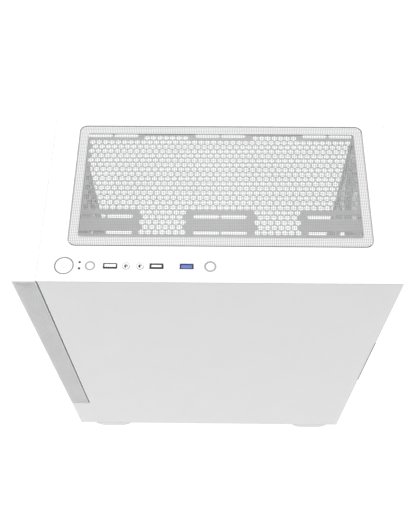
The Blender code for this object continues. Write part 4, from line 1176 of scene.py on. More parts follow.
def left_side():
    """The tempered glass with its polished edge and white enamel border, and its rear rail."""
    pane = plate(rectangle(GLASS_Y, GLASS_Z, 2.0, 5), *GLASS_X, "X", (), 0.7, 3)
    piece("glass_pane", pane, GLASS, ["left_glass"], "left_panel")
    window_y = (GLASS_Y[0] + ENAMEL_FRONT, GLASS_Y[1] - ENAMEL_REAR)
    window = rectangle(window_y, grown(GLASS_Z, -ENAMEL_ENDS), 2.0, 5)
    inside = GLASS_X[1]
    border = plate(
        rectangle(
            grown(GLASS_Y, -0.9), grown(GLASS_Z, -0.9), 1.5
        ), inside + 0.02, inside + 0.14, "X", [window], 0.03
    )
    piece("glass_border", border, ENAMEL, body="left_panel")
    rail_z = spans("left_panel_rail")[2]
    web = GLASS_Y[1] + GAP
    leg = GLASS_X[1] + GAP
    rear = PANEL_Y[1]
    loop = [
        (-SIDE, web, 0.5),
        (leg, web, 0.3),
        (leg, web - 18.0, 0.3),
        (leg + SHEET, web - 18.0, 0.3),
        (leg + SHEET, web + SHEET, 1.0),
        (-SIDE + SHEET, web + SHEET, 0.3),
        (-SIDE + SHEET, rear - SHEET, 0.3),
        (-SIDE + FLANGE, rear - SHEET, 0.3),
        (-SIDE + FLANGE, rear, 0.3),
        (-SIDE, rear, 1.1),
    ]
    rail = plate(bent(loop), *rail_z, "Z", (), 0.2, 2)
    grip = block((-SIDE - 1, -SIDE + FLANGE + 1), (rear - GRIP_NOTCH, rear + 5), GRIP_Z, 0.0)
    window = plate(
        rectangle((web + 2.4, rear - 2.4), GRIP_Z, 2.0, 5), -SIDE - 1, -SIDE + 2, "X", (), 0.0
    )
    rail = cut(rail, grip, window, *screw_holes(-SCREW_X))
    piece("glass_rail", rail, STEEL_WHITE, ["left_panel_rail"], "left_panel")


def panel_screws():
    """Low pan-head screws with a cross recess and a chamfered shank."""
    for side in ("right", "left"):
        for end in ("upper", "lower"):
            node = f"{side}_panel_screw_{end}"
            x, y, z = spans(node)
            centre = (middle(x), 0, middle(z))
            seat = y[1] - 1.4
            profile = [
                (0, y[0]),
                (1.1, y[0]),
                (1.7, y[0] + 0.8),
                (1.7, seat - 0.05),
                (3.75, seat - 0.05),
                (3.9, seat + 0.15),
                (3.9, seat + 0.45),
                (3.4, y[1] - 0.3),
                (2.4, y[1]),
                (0, y[1]),
            ]
            head = turned(profile, centre, "Y", 40)
            arms = []
            for half_x, half_z in ((0.45, 2.1), (2.1, 0.45)):
                x_span = about(centre[0], half_x)
                z_span = about(centre[2], half_z)
                arms.append(block(x_span, (y[1] - 0.9, y[1] + 2), z_span, 0.0))
            screw = cut(cut(head, arms[0]), arms[1])
            ridges = []
            for k in range(7):
                at = y[0] + 1.2 + 0.7 * k
                ring = [
                    (px, at + 0.7 * i / 16, pz)
                    for i, (px, pz) in enumerate(circle((centre[0], centre[2]), 1.72, 16))
                ]
                ridges.append(pipe(ring, 0.16, 6))
            piece(node + "_metal", [screw, *ridges], SCREW_STEEL, [node], node)


def feet():
    """Four moulded feet with flared ends, each on a ribbed rubber pad."""
    for end in ("front", "rear"):
        for side in ("right", "left"):
            node = f"foot_{end}_{side}"
            x, y, z = spans(node)
            centre = middle(y)
            loop = [(y[0], z[1], 0.4), (centre - 17.5, 3.4, 5.0), (centre - 15.0, z[0], 3.0)]
            loop += [(centre + 15.0, z[0], 3.0), (centre + 17.5, 3.4, 5.0), (y[1], z[1], 0.4)]
            shape = plate(bent(loop, 6), *x, "X", (), 1.1, 3)
            piece(node + "_moulding", shape, PLASTIC_WHITE, [node])
            pad_x, pad_y, pad_z = spans(f"foot_pad_{end}_{side}")
            pad = plate(rectangle(pad_x, pad_y, 3.0, 6), 0.35, pad_z[1], "Z", (), 0.4, 3)
            ribs = []
            for at in spaced(pad_y[0] + 3.6, 3.9, 6):
                ribs.append(block(grown(pad_x, -1.6), about(at, 1.1), (0.0, 0.8), 0.3))
            piece(
                f"foot_pad_{end}_{side}_rubber", [pad, *ribs], RUBBER, [f"foot_pad_{end}_{side}"]
            )


top_panel()
top_filter()
control_strip()
front_bezel()
front_mesh()
right_side()
left_side()
panel_screws()
feet()

# ---------------------------------------------------------------- screws and fans

FAN_SIZE = 120.0
FAN_DEPTH = 25.0
FAN_BORE = 58.0
FAN_HOLE = 52.5  # from a fan's middle to its screw holes, along either side


def screw_head(spot, axis, radius=3.0, height=1.6):
    """A small pan-head screw with a hexagonal recess, its head starting at spot."""
    profile = [
        (0, -1.2), (radius * 0.5, -1.2), (radius * 0.5, 0), (radius, 0), (radius, height * 0.45)
    ]
    profile += [(radius * 0.82, height * 0.86), (radius * 0.5, height), (radius * 0.4, height)]
    profile += [(radius * 0.36, height * 0.35), (0, height * 0.35)]
    return turned(profile, spot, axis, 24)


def curved_blade(hub, tip, start, count, height):
    """One fan blade: swept forwards, twisted, cambered, and thin at both edges."""
    stations, chord = 9, 10
    work = bmesh.new()
    rings = []
    for i in range(stations):
        share = i / (stations - 1)
        radius = hub - 0.6 + (tip - hub + 0.6) * share
        lead = start + 0.42 * share**1.3
        width = 2 * math.pi / count * 0.96 * (1 - 0.22 * share)
        rise = height * (1 - 0.16 * share)
        ring = []
        for side in (1, -1):
            steps = range(chord + 1) if side > 0 else range(chord - 1, 0, -1)
            for k in steps:
                t = k / chord
                camber = 0.16 * rise * math.sin(math.pi * t)
                thick = 0.25 + 0.75 * math.sin(math.pi * t) ** 0.6
                turn = lead + width * t
                level = rise / 2 - rise * t + camber + side * thick
                spot = (radius * math.cos(turn), radius * math.sin(turn), level)
                ring.append(work.verts.new([value * MM for value in spot]))
        rings.append(ring)
    skinned(work, rings)
    return tidy(finished(work, "blade"))


def fan(prefix, axis, size, depth, bore, hole, blades):
    """A fan: a two-flanged frame with a motor plate on four struts, and a bladed rotor."""
    frame = [middle(span) for span in spans(prefix + "_frame")]
    rotor = [middle(span) for span in spans(prefix + "_rotor")]
    along = "XYZ".index(axis)
    rotor[:] = [frame[i] if i != along else rotor[i] for i in range(3)]
    half = size / 2
    top = depth / 2
    motor = 20.0 * size / 120.0
    hub = motor + 0.5
    ears = four_corners((0, 0), hole, hole)
    holes = [circle((0, 0), bore, 72), *[circle(ear, 2.15, 20) for ear in ears]]
    outline = around((0, 0), half, half, 4.0, 6)
    parts = [plate(outline, low, low + 4.0, "Z", holes, 0.6, 2) for low in (-top, top - 4.0)]
    between = (-top + 1.0, top - 1.0)
    parts.append(tube(bore, bore + 1.5, between, (0, 0, 0), "Z", 96))
    parts += [tube(2.2, 3.6, between, (x, y, 0), "Z", 20) for x, y in ears]
    disc = [(0, top - 3.0), (motor, top - 3.0), (motor, top - 0.5), (motor - 0.6, top), (0, top)]
    parts.append(turned(disc, (0, 0, 0), "Z", 56))
    for i in range(4):
        turn = QUARTER * i + 0.5
        start = ((motor - 1.0) * math.cos(turn), (motor - 1.0) * math.sin(turn))
        bow = (
            (motor + bore) / 2 * math.cos(turn + 0.12), (motor + bore) / 2 * math.sin(turn + 0.12)
        )
        stop = ((bore + 0.8) * math.cos(turn + 0.16), (bore + 0.8) * math.sin(turn + 0.16))
        parts.append(pipe([(*start, top - 1.6), (*bow, top - 1.6), (*stop, top - 1.6)], 1.5, 10))
    shape = moved(frame) @ pointing(axis)
    whole = merged(parts)
    whole.transform(shape)
    piece(prefix + "_housing", whole, PLASTIC_WHITE, [prefix + "_frame"])
    pads = []
    for ear in ears:
        for side in (-1, 1):
            level = sorted((side * (top - 0.4), side * (top - 0.05)))
            pads.append(
                plate(around(ear, 6.2, 6.2, 3.0, 5), *level, "Z", [circle(ear, 3.2, 20)], 0.1)
            )
    pads = merged(pads)
    pads.transform(shape)
    piece(prefix + "_pads", pads, RUBBER)
    label = plate(circle((0, 0), motor * 0.78, 48), top - 0.05, top + 0.12, "Z", (), 0.05)
    label.transform(shape)
    piece(prefix + "_sticker", label, HUB_LABEL)
    shape = moved(rotor) @ pointing(axis)
    rise = depth * 0.76 - 1.0
    low = -rise / 2
    profile = [
        (0, low), (hub * 0.55, low), (hub * 0.85, low + 0.5), (hub * 0.97, low + 1.6),
        (hub, low + 3.0),
    ]
    profile += [(hub, rise / 2), (hub - 1.6, rise / 2), (hub - 1.6, low + 3.4), (0, low + 2.0)]
    parts = [turned(profile, (0, 0, 0), "Z", 64)]
    spread_angle = 2 * math.pi / blades
    parts += [
        curved_blade(hub, bore - 1.6, spread_angle * i, blades, rise * 0.72) for i in range(blades)
    ]
    whole = merged(parts)
    whole.transform(shape)
    body = prefix + "_rotor"
    piece(prefix + "_blades", whole, PLASTIC_FROST, [prefix + "_rotor"], body)
    boss = turned(
        [(0, low - 0.2), (hub * 0.5, low - 0.1), (hub * 0.52, low + 0.3), (0, low + 0.3)],
        (0, 0, 0),
        "Z",
        40,
    )
    boss.transform(shape)
    piece(prefix + "_hub_cap", boss, HUB_LABEL, body=body, slot="frosted_plastic")


def fans():
    """The five fans, and the screws that hold the three case fans."""
    for node, axis in (
        ("front_fan_lower", "Y"),
        ("front_fan_upper", "Y"),
        ("rear_fan", "Y"),
        ("psu_fan", "Z"),
    ):
        fan(node, axis, FAN_SIZE, FAN_DEPTH, FAN_BORE, FAN_HOLE, 9)
    fan("cpu_fan", "X", 92.0, 20.0, 43.0, 41.25, 7)
    screws = []
    for node, level, axis in (
        ("front_fan_lower_frame", CASE_FRONT - 0.05, "-Y"),
        ("front_fan_upper_frame", CASE_FRONT - 0.05, "-Y"),
        ("rear_fan_frame", REAR + 0.05, "Y"),
    ):
        x, _, z = spans(node)
        for across, up in four_corners((middle(x), middle(z)), FAN_HOLE, FAN_HOLE):
            screws.append(screw_head((across, level, up), axis, 3.6, 1.2))
    piece("fan_screws", screws, SCREW_STEEL)


# ---------------------------------------------------------------- chassis

FAN_SCREW_HOLE = 2.3
FRONT_OPENING = 57.0
SHELL_Z = spans("front_frame")[2]
INNER_X = spans("front_frame")[0]
PSU_X, PSU_Y, PSU_Z = spans("psu_case")
TRAY_X = spans("motherboard_tray")[0][1] - SHEET
TRAY_Z_TOP = 462.0


def chassis_floor():
    """The bottom sheet with its side webs, intake slots and the filter's two guide rails."""
    x, y, _ = spans("chassis_floor")
    slots = [around((middle(PSU_X), 62.0 + 12.0 * i), 52.0, 2.25, 2.2, 5) for i in range(9)]
    dimples = [
        circle((sx * 60.0, sy), 1.8, 20) for sx in (-1, 1) for sy in (-140.0, -100.0, -60.0)
    ]
    parts = [plate(rectangle(x, y, 1.5), BASE, FLOOR_TOP, "Z", [*slots, *dimples], 0.2, 2)]
    for outer, side in ((x[0], 1), (x[1], -1)):
        web = sorted((outer + side * 0.2, outer + side * 1.0))
        parts.append(block(web, (y[0] + 1.0, y[1] - 1.5), (BASE + 0.4, BASE + 11.0), 0.2))
    filter_x = spans("psu_filter")[0]
    for low, lip in ((filter_x[0] - 1.4, 4.0), (filter_x[1] + 0.4, -4.0)):
        parts.append(block((low, low + 1.0), (36.0, 187.0), (BASE - 3.9, BASE + 0.4), 0.2))
        reach = sorted((low + 0.5, low + 0.5 + lip))
        parts.append(block(reach, (37.0, 186.0), (BASE - 3.7, BASE - 3.0), 0.15))
    piece("floor_sheet", parts, STEEL_WHITE, ["chassis_floor"])


def bottom_filter():
    """The slide-out filter under the power supply: a ribbed frame, its net and a finger grip."""
    x, y, z = spans("psu_filter")
    high = z[1]
    frame_y = (y[0], 184.0)
    window = rectangle(grown(x, -7.0), grown(frame_y, -8.0), 2.0)
    parts = [plate(rectangle(x, frame_y, 2.0), high - 2.2, high, "Z", [window], 0.3, 2)]
    for i in range(1, 4):
        at = x[0] + (x[1] - x[0]) * i / 4
        parts.append(block(about(at, 0.9), grown(frame_y, -7.0), (high - 2.0, high - 0.9), 0.3))
    for i in range(1, 3):
        at = frame_y[0] + (frame_y[1] - frame_y[0]) * i / 3
        parts.append(block(grown(x, -6.0), about(at, 0.9), (high - 2.0, high - 0.9), 0.3))
    parts.append(block((-20.0, 25.0), (182.0, REAR - 0.5), (high - 2.0, high - 0.4), 0.3))
    parts.append(block((-20.4, 25.4), (REAR - 1.2, REAR), (z[0], high - 0.2), 0.35))
    for at in spaced(-16.0, 4.6, 9):
        parts.append(
            block(about(at, 0.6), (REAR - 5.0, REAR - 0.6), (high - 2.4, high - 1.9), 0.15)
        )
    piece("psu_filter_frame", parts, PLASTIC_WHITE, ["psu_filter"], "psu_filter")
    threads = []
    inner_x = grown(x, -6.5)
    inner_y = grown(frame_y, -7.5)
    pitch = 1.5
    for i in range(int((inner_x[1] - inner_x[0]) / pitch)):
        at = inner_x[0] + pitch * (i + 0.5)
        threads.append(block(about(at, 0.2), inner_y, (high - 0.85, high - 0.6), 0.0))
    for i in range(int((inner_y[1] - inner_y[0]) / pitch)):
        at = inner_y[0] + pitch * (i + 0.5)
        threads.append(block(inner_x, about(at, 0.2), (high - 0.7, high - 0.45), 0.0))
    piece("psu_filter_net", threads, NET, body="psu_filter", sharp=60)


def front_frame():
    """The inner steel front, with three fan openings and rolled side webs."""
    y = (CASE_FRONT, CASE_FRONT + SHEET)
    centres = [middle(spans(f"front_fan_{end}_frame")[2]) for end in ("lower", "upper")]
    centres.append(2 * centres[1] - centres[0])
    holes = [circle((0.0, z), FRONT_OPENING, 72) for z in centres]
    for z in centres:
        spots = four_corners((0.0, z), FAN_HOLE, FAN_HOLE)
        holes += [circle(spot, FAN_SCREW_HOLE, 16) for spot in spots]
    holes += [circle(peg, 3.3, 20) for peg in PEGS]
    holes += [around((side * 72.0, z), 2.2, 20.0, 2.1, 5) for side in (-1, 1) for z in centres]
    wall = plate(rectangle(INNER_X, SHELL_Z, 1.0), *y, "Y", holes, 0.2, 2)
    parts = [wall]
    for edge, side in ((INNER_X[0], 1), (INNER_X[1], -1)):
        web = sorted((edge + side * 0.2, edge + side * 1.0))
        parts.append(block(web, (y[0] + 0.4, y[0] + 14.0), (122.0, TOP - 6.0), 0.2))
    piece("front_sheet", parts, STEEL_WHITE, ["front_frame"])


IO_X, _, IO_Z = spans("port_shield")
SLOT_PITCH = 20.32
SLOT_COUNT = 7
SLOT_X = (-36.0, 70.0)
SLOT_TOP = 256.0
SLOT_OPENING = 8.4
SLOT_COVER = 6.9
PSU_SCREWS = (69.0, 32.0)
GRILLE_PITCH = 6.9
GRILLE_ROW = 6.0
GRILLE_RADIUS = 53.0
GRILLE_HOLE = 3.2


def rear_outline():
    """The back's outline: narrower by the two finger grips and at the glass side."""
    low, high = SHELL_Z
    left = INNER_X[0]
    edge = spans("rear_panel")[0][1]
    notch, grip = 97.5, 89.5
    grip_z = grown(GRIP_Z, 1.0)
    return [
        (left, high),
        (left, grip_z[1]),
        (-grip, grip_z[1]),
        (-grip, grip_z[0]),
        (left, grip_z[0]),
        (left, low),
        (notch, low),
        (notch, low + 2.0),
        (edge, low + 2.0),
        (edge, grip_z[0]),
        (grip, grip_z[0]),
        (grip, grip_z[1]),
        (edge, grip_z[1]),
        (edge, high - 2.0),
        (notch, high - 2.0),
        (notch, high),
    ]


def rear_panel():
    """The steel back: port and power supply windows, fan grille, and seven covered card slots."""
    y = (REAR - SHEET, REAR)
    x, _, z = spans("rear_fan_frame")
    fan_spot = (middle(x), middle(z))
    psu = (middle(PSU_X), middle(PSU_Z))
    holes = [rectangle(grown(IO_X, GAP), grown(IO_Z, GAP), 1.0), around(psu, 62.0, 39.0, 3.0)]
    psu_screws = four_corners(psu, *PSU_SCREWS)
    holes += [circle(spot, 2.0, 16) for spot in psu_screws]
    holes += [circle((sx * SCREW_X, height), 2.1, 20) for sx in (-1, 1) for height in SCREW_Z]
    for row in range(-9, 10):
        for column in range(-9, 10):
            offset = GRILLE_PITCH / 2 if row % 2 else 0.0
            spot = (GRILLE_PITCH * column + offset, GRILLE_ROW * row)
            if math.hypot(*spot) < GRILLE_RADIUS:
                centre = (fan_spot[0] + spot[0], fan_spot[1] + spot[1])
                holes.append(circle(centre, GRILLE_HOLE, 6, 30))
    for spot in four_corners(fan_spot, FAN_HOLE, FAN_HOLE):
        holes.append(circle(spot, FAN_SCREW_HOLE, 16))
    slots = [SLOT_TOP - SLOT_PITCH * i for i in range(SLOT_COUNT)]
    holes += [rectangle(SLOT_X, about(height, SLOT_OPENING), 0.8, 3) for height in slots]
    for height in (150.0, 190.0, 230.0):
        holes.append(around((-72.0, height), 14.0, 3.0, 2.9, 6))
    piece("rear_sheet", plate(rear_outline(), *y, "Y", holes, 0.2, 2), STEEL_WHITE, ["rear_panel"])
    covers = []
    screws = []
    for height in slots:
        vents = []
        for column in range(11):
            for side in (-1, 1):
                centre = (middle(SLOT_X) - 45.0 + 9.0 * column, height + side * 3.0)
                vents.append(around(centre, 3.2, 1.3, 1.25, 4))
        outline = rectangle(grown(SLOT_X, -GAP), about(height, SLOT_COVER), 0.6, 3)
        covers.append(plate(outline, *y, "Y", vents, 0.15, 2))
        tab = around((SLOT_X[0] - 4.0, height), 4.6, 5.4, 1.0, 4)
        covers.append(plate(tab, REAR + 0.03, REAR + 0.75, "Y", (), 0.15))
        screws.append(screw_head((SLOT_X[0] - 4.6, REAR + 0.78, height), "Y", 3.1, 1.2))
    piece("slot_covers", covers, STEEL_WHITE)
    for across, up in psu_screws:
        screws.append(screw_head((across, REAR + 0.05, up), "Y", 3.4, 1.4))
    piece("rear_screws", screws, SCREW_STEEL)


# The tray's cable windows and the tie loops beside them, along Y and Z
TRAY_WINDOWS = [
    ((-157.0, -45.0), (21.0, 91.0)),
    ((-32.0, 40.0), (26.0, 108.0)),
    ((42.0, 166.0), (288.0, 412.0)),
    ((-112.0, -80.0), (132.0, 218.0)),
    ((-112.0, -80.0), (307.0, 398.0)),
    ((-30.0, 20.0), (438.0, 454.0)),
]
TIE_LOOPS = [(-66.0, 180.0), (-66.0, 280.0), (-122.0, 260.0), (-122.0, 400.0), (60.0, 100.0)]


def board_tray():
    """The upright sheet that carries the board: cable windows, standoffs and tie loops."""
    _, y, z = spans("motherboard_tray")
    back = y[1]
    loop = [(y[0], z[0], 1.0), (back, z[0], 1.0), (back, TRAY_Z_TOP, 1.0)]
    for at in (174.0, 38.0):
        loop += [(at + 12.0, TRAY_Z_TOP, 2.0), (at + 12.0, z[1], 1.0)]
        loop += [(at - 12.0, z[1], 1.0), (at - 12.0, TRAY_Z_TOP, 2.0)]
    loop.append((y[0], TRAY_Z_TOP, 1.0))
    holes = [rectangle(across, up, 4.0) for across, up in TRAY_WINDOWS]
    sheet = plate(bent(loop), TRAY_X, TRAY_X + SHEET, "X", holes, 0.2, 2)
    parts = [sheet]
    for spot in board_holes():
        profile = [(0, -6.0), (1.9, -6.0), (2.6, -5.6), (3.0, -4.4), (3.0, 0.2), (0, 0.2)]
        parts.append(turned(profile, (TRAY_X, *spot), "X", 6))
    for at, height in TIE_LOOPS:
        points = []
        for k in range(9):
            bow = TRAY_X + SHEET + 1.3 * math.sin(math.pi * k / 8)
            points.append((bow, at, height - 5.0 + 1.25 * k))
        parts.append(pipe(points, 0.8, 8))
    piece("tray_sheet", parts, STEEL_INSIDE, ["motherboard_tray"])


def shroud():
    """The cover over the power supply and drives, vented above and closed on the glass side."""
    x, y, z = spans("psu_shroud")
    loop = [
        (x[0], z[0], 0.0),
        (x[0] + SHEET, z[0], 0.0),
        (x[0] + SHEET, z[1] - SHEET, 0.5),
        (x[1], z[1] - SHEET, 0.0),
        (x[1], z[1], 0.0),
        (x[0], z[1], 1.3),
    ]
    cover = plate(bent(loop), *y, "Y", (), 0.2, 2)
    holes = [rectangle((40.0, 70.0), (at, at + 22.0), 5.0) for at in (-130.0, -40.0)]
    holes += [around((-20.0, 60.0 + 14.0 * i), 45.0, 2.5, 2.45, 6) for i in range(8)]
    cutters = [plate(hole, z[1] - 5, z[1] + 5, "Z", (), 0.0) for hole in holes]
    piece("shroud_cover", cut(cover, *cutters), STEEL_WHITE, ["psu_shroud"])


def cage():
    """The drive cage: a folded bridge with two pairs of runners and vent slots in its walls."""
    x, y, z = spans("drive_cage")
    loop = [
        (y[0], z[0], 0.0),
        (y[0] + SHEET, z[0], 0.0),
        (y[0] + SHEET, z[1] - SHEET, 0.4),
        (y[1] - SHEET, z[1] - SHEET, 0.4),
        (y[1] - SHEET, z[0], 0.0),
        (y[1], z[0], 0.0),
        (y[1], z[1], 1.2),
        (y[0], z[1], 1.2),
    ]
    parts = [plate(bent(loop), *x, "X", (), 0.2, 2)]
    for level in (21.2, 54.0):
        for wall, reach in ((y[0] + 0.4, 6.0), (y[1] - 0.4, -6.0)):
            parts.append(
                block(grown(x, -4.0), sorted((wall, wall + reach)), (level, level + SHEET), 0.15)
            )
    cutters = []
    for i in range(5):
        centre = (x[0] + 25.0 + 25.0 * i, middle(z) + 14.0)
        cutters.append(plate(around(centre, 7.0, 3.0, 2.9, 5), y[0] - 5, y[1] + 5, "Y", (), 0.0))
    body = cut(parts[0], *cutters)
    piece("cage_bridge", [body, *parts[1:]], STEEL_INSIDE, ["drive_cage"])


# ---------------------------------------------------------------- drives, power supply and cable


def hard_drive():
    """A 3.5 inch drive: a cast tray with a stamped lid, screws and a circuit board below."""
    x, y, z = spans("hard_drive")
    base = plate(rectangle(x, y, 3.0), z[0] + 2.4, z[1] - 1.6, "Z", (), 0.7, 2)
    rails = [
        block((x[0] + 1, x[1] - 1), side, (z[0], z[0] + 3.0), 0.5)
        for side in ((y[0], y[0] + 6), (y[1] - 6, y[1]))
    ]
    piece("drive_casting", [base, *rails], ALUMINIUM, ["hard_drive"])
    lid = plate(
        rectangle(grown(x, -1.5), grown(y, -1.2), 4.0), z[1] - 1.5, z[1] - 0.5, "Z", (), 0.3, 2
    )
    spindle = (x[0] + 52.0, middle(y), z[1])
    dome = turned(
        [(0, -0.6), (47.0, -0.6), (46.0, -0.25), (44.0, -0.1), (0, -0.1)], spindle, "Z", 96
    )
    hub = turned(
        [(0, -0.1), (12.0, -0.1), (11.5, 0.0), (9.0, -0.02), (8.6, -0.12), (0, -0.12)],
        spindle,
        "Z",
        64,
    )
    piece("drive_lid", [lid, dome, hub], NICKEL)
    spots = [
        (x[0] + 5, y[0] + 5), (x[0] + 5, y[1] - 5), (x[1] - 6, y[0] + 5), (x[1] - 6, y[1] - 5)
    ]
    spots += [(middle(x) + 8, y[0] + 4), (middle(x) + 8, y[1] - 4)]
    heads = [screw_head((*spot, z[1] - 1.2), "Z", 2.3, 0.9) for spot in spots]
    piece("drive_screws", heads, SCREW_STEEL)
    board = plate(
        rectangle((x[0] + 55, x[1] - 2), grown(y, -8.0), 3.0), z[0] + 0.9, z[0] + 2.3, "Z", (), 0.1
    )
    piece("drive_board", board, BOARD)
    plug = block(
        (x[1] - 12.0, x[1] - 0.2), (y[0] + 9.0, y[0] + 51.0), (z[0] + 0.6, z[0] + 5.6), 0.4
    )
    piece("drive_connector", plug, BLACK)


def small_drive():
    """A 2.5 inch drive: a thin two-part case with a step round its lid."""
    x, y, z = spans("solid_state_drive")
    body = block((x[0], x[1] - 1.0), y, z, 0.8, 3)
    lid = plate(rectangle(grown(y, -1.2), grown(z, -1.2), 2.0), x[1] - 1.1, x[1], "X", (), 0.35, 2)
    piece("small_drive_case", [body, lid], BLACK, ["solid_state_drive"])
    panel = plate(
        rectangle(grown(y, -9.0), (z[0] + 30.0, z[1] - 12.0), 2.0), x[1] - 0.02, x[1] + 0.1, "X",
        (), 0.04,
    )
    piece("small_drive_panel", panel, GREY)
    spots = [
        (y[0] + 4.0, z[0] + 14.0),
        (y[1] - 4.0, z[0] + 14.0),
        (y[0] + 4.0, z[1] - 9.5),
        (y[1] - 4.0, z[1] - 9.5),
    ]
    heads = [screw_head((x[1] - 0.1, *spot), "X", 1.9, 0.5) for spot in spots]
    piece("small_drive_screws", heads, SCREW_STEEL)


INLET = (-38.0, 78.0)
SWITCH = (middle(spans("psu_switch")[0]), middle(spans("psu_switch")[2]))


def power_supply():
    """The power supply: a folded shell with a hexagonal grille, inlet, switch and insides."""
    back = PSU_Y[1]
    wall = 1.0
    x, y, z = PSU_X, PSU_Y, PSU_Z
    fan_hole = circle((middle(x), middle(y)), FAN_BORE, 96)
    walls = [
        plate(rectangle(x, y, 1.0), z[0], z[0] + wall, "Z", [fan_hole], 0.3, 2),
        plate(rectangle(x, y, 1.0), z[1] - wall, z[1], "Z", (), 0.3, 2),
        plate(rectangle(y, grown(z, -0.5), 0.5), x[0], x[0] + wall, "X", (), 0.3, 2),
        plate(rectangle(y, grown(z, -0.5), 0.5), x[1] - wall, x[1], "X", (), 0.3, 2),
        plate(rectangle(grown(x, -0.5), grown(z, -0.5), 0.5), y[0], y[0] + wall, "Y", (), 0.3, 2),
    ]
    holes = [around(INLET, 13.4, 9.4, 2.0), around(SWITCH, 11.2, 8.0, 1.5)]
    for row in range(13):
        for column in range(9):
            spot = (3.0 + 6.4 * column + (3.2 if row % 2 else 0.0), 29.5 + 5.55 * row)
            if spot[0] < 57.5:
                holes.append(circle(spot, 2.9, 6, 30))
    outline = rectangle(grown(x, -0.5), grown(z, -0.5), 0.8)
    walls.append(plate(outline, back - wall, back, "Y", holes, 0.15))
    piece("psu_shell", walls, STEEL_WHITE, ["psu_case"])
    rim = plate(around(INLET, 13.2, 9.2, 2.0), back - 3.0, back + 0.9, "Y", [inlet_loop()], 0.4, 2)
    sleeve = plate(
        around(INLET, 13.2, 9.2, 2.0), back - 16.0, back - 2.8, "Y", [inlet_loop()], 0.2
    )
    base = block(about(INLET[0], 13), (back - 17.0, back - 15.0), about(INLET[1], 9), 0.3)
    frame = plate(
        around(SWITCH, 11.0, 7.8, 1.5), back - 9.0, back + 0.9, "Y",
        [around(SWITCH, 9.7, 6.5, 0.8)], 0.4, 2,
    )
    bed = block(about(SWITCH[0], 10), (back - 10.0, back - 8.6), about(SWITCH[1], 7), 0.3)
    piece("mains_housing", [rim, sleeve, base, frame, bed], BLACK)
    pins = []
    for dx, dz in ((-7.0, -1.5), (0.0, 2.5), (7.0, -1.5)):
        pin_x = (INLET[0] + dx - 0.9, INLET[0] + dx + 0.9)
        pin_z = (INLET[1] + dz - 1.9, INLET[1] + dz + 1.9)
        pins.append(block(pin_x, (back - 15.2, back - 2.2), pin_z, 0.5, 3))
    piece("mains_pins", pins, NICKEL)
    inside = [
        plate(rectangle(grown(x, -6.0), grown(y, -6.0), 1.0), z[1] - 9.0, z[1] - 7.4, "Z", (), 0.1)
    ]
    piece("psu_board", inside, BOARD)
    sinks = []
    for at in (-20.0, 28.0):
        sinks.append(block((at, at + 3.0), (75.0, 170.0), (52.0, z[1] - 9.5), 0.3))
        sinks += [
            block((at - 4.0, at + 7.0), (80.0 + 12 * i, 81.5 + 12 * i), (54.0, 90.0), 0.2)
            for i in range(8)
        ]
    piece("psu_heatsinks", sinks, ALUMINIUM)
    cans = []
    for spot, radius, tall in (
        ((5.0, 160.0), 10.0, 36.0), ((50.0, 150.0), 8.0, 26.0), ((50.0, 128.0), 6.0, 22.0)
    ):
        low = z[1] - 9.5 - tall
        cans.append(
            turned(
                [(0, low), (radius - 1, low), (radius, low + 1), (radius, z[1] - 9.5)],
                (*spot, 0),
                "Z",
                32,
            )
        )
    cans.append(block((-60.0, -30.0), (100.0, 135.0), (58.0, z[1] - 9.5), 1.5, 3))
    piece("psu_parts", cans, BLACK)
    rings = []
    level = z[0] - 0.7
    for radius in (14.0, 24.0, 34.0, 44.0, 54.0):
        loop = [(px, py, level) for px, py in circle((middle(x), middle(y)), radius, 64)]
        rings.append(pipe(loop, 0.8, 8, True))
    for i in range(4):
        turn = QUARTER * (i + 0.5)
        spoke = [
            (middle(x) + radius * math.cos(turn), middle(y) + radius * math.sin(turn), level)
            for radius in (14.0, 58.5)
        ]
        rings.append(pipe(spoke, 0.8, 8))
    piece("psu_fan_guard", rings, NICKEL)
    rocker()


def inlet_loop():
    """The mains inlet's opening: a rectangle with its two upper corners cut off."""
    x, z = INLET
    corners = [(-12, -8), (12, -8), (12, 3.5), (7.5, 8), (-7.5, 8), (-12, 3.5)]
    return bent([(x + dx, z + dz, 1.0) for dx, dz in corners])


def rocker():
    """The rocker switch, tilted as it rests, with a bar and a ring moulded on its two faces."""
    back = PSU_Y[1]
    half = [(-4.0, -2.5, 0.5), (1.6, -5.8, 0.8), (3.6, -5.6, 0.8), (2.2, 0.0, 2.5)]
    loop = half + [(py, -pz, radius) for py, pz, radius in reversed(half[:-1])]
    body = plate(bent(loop, 5), -9.2, 9.2, "X", (), 0.4, 2)
    turn = Matrix.Translation([SWITCH[0] * MM, (back - 3.4) * MM, SWITCH[1] * MM])
    turn = turn @ Matrix.Rotation(math.radians(8.0), 4, "X")
    body.transform(turn)
    piece("switch_rocker", body, BLACK, ["psu_switch"], "psu_switch")
    bar = block((-0.35, 0.35), (2.85, 3.12), (1.9, 4.6), 0.1)
    ring = pipe([(px, 3.02, -3.3 + pz) for px, pz in circle((0, 0), 1.3, 24)], 0.22, 6, True)
    marks = merged([bar, ring])
    marks.transform(turn)
    piece("switch_marks", marks, PLASTIC_WHITE, body="psu_switch", slot="black_plastic")


def smooth_route(corners, steps):
    """Points along a Catmull-Rom curve through the corners."""
    points = [Vector(corner) for corner in corners]
    padded = [points[0] * 2 - points[1], *points, points[-1] * 2 - points[-2]]
    route = []
    for before, start, end, after in zip(padded, padded[1:], padded[2:], padded[3:]):
        for i in range(steps):
            t = i / steps
            bend = 2 * start + (end - before) * t
            bend += (2 * before - 5 * start + 4 * end - after) * t * t
            bend += (3 * start - before - 3 * end + after) * t * t * t
            route.append(bend / 2)
    return [*route, points[-1]]


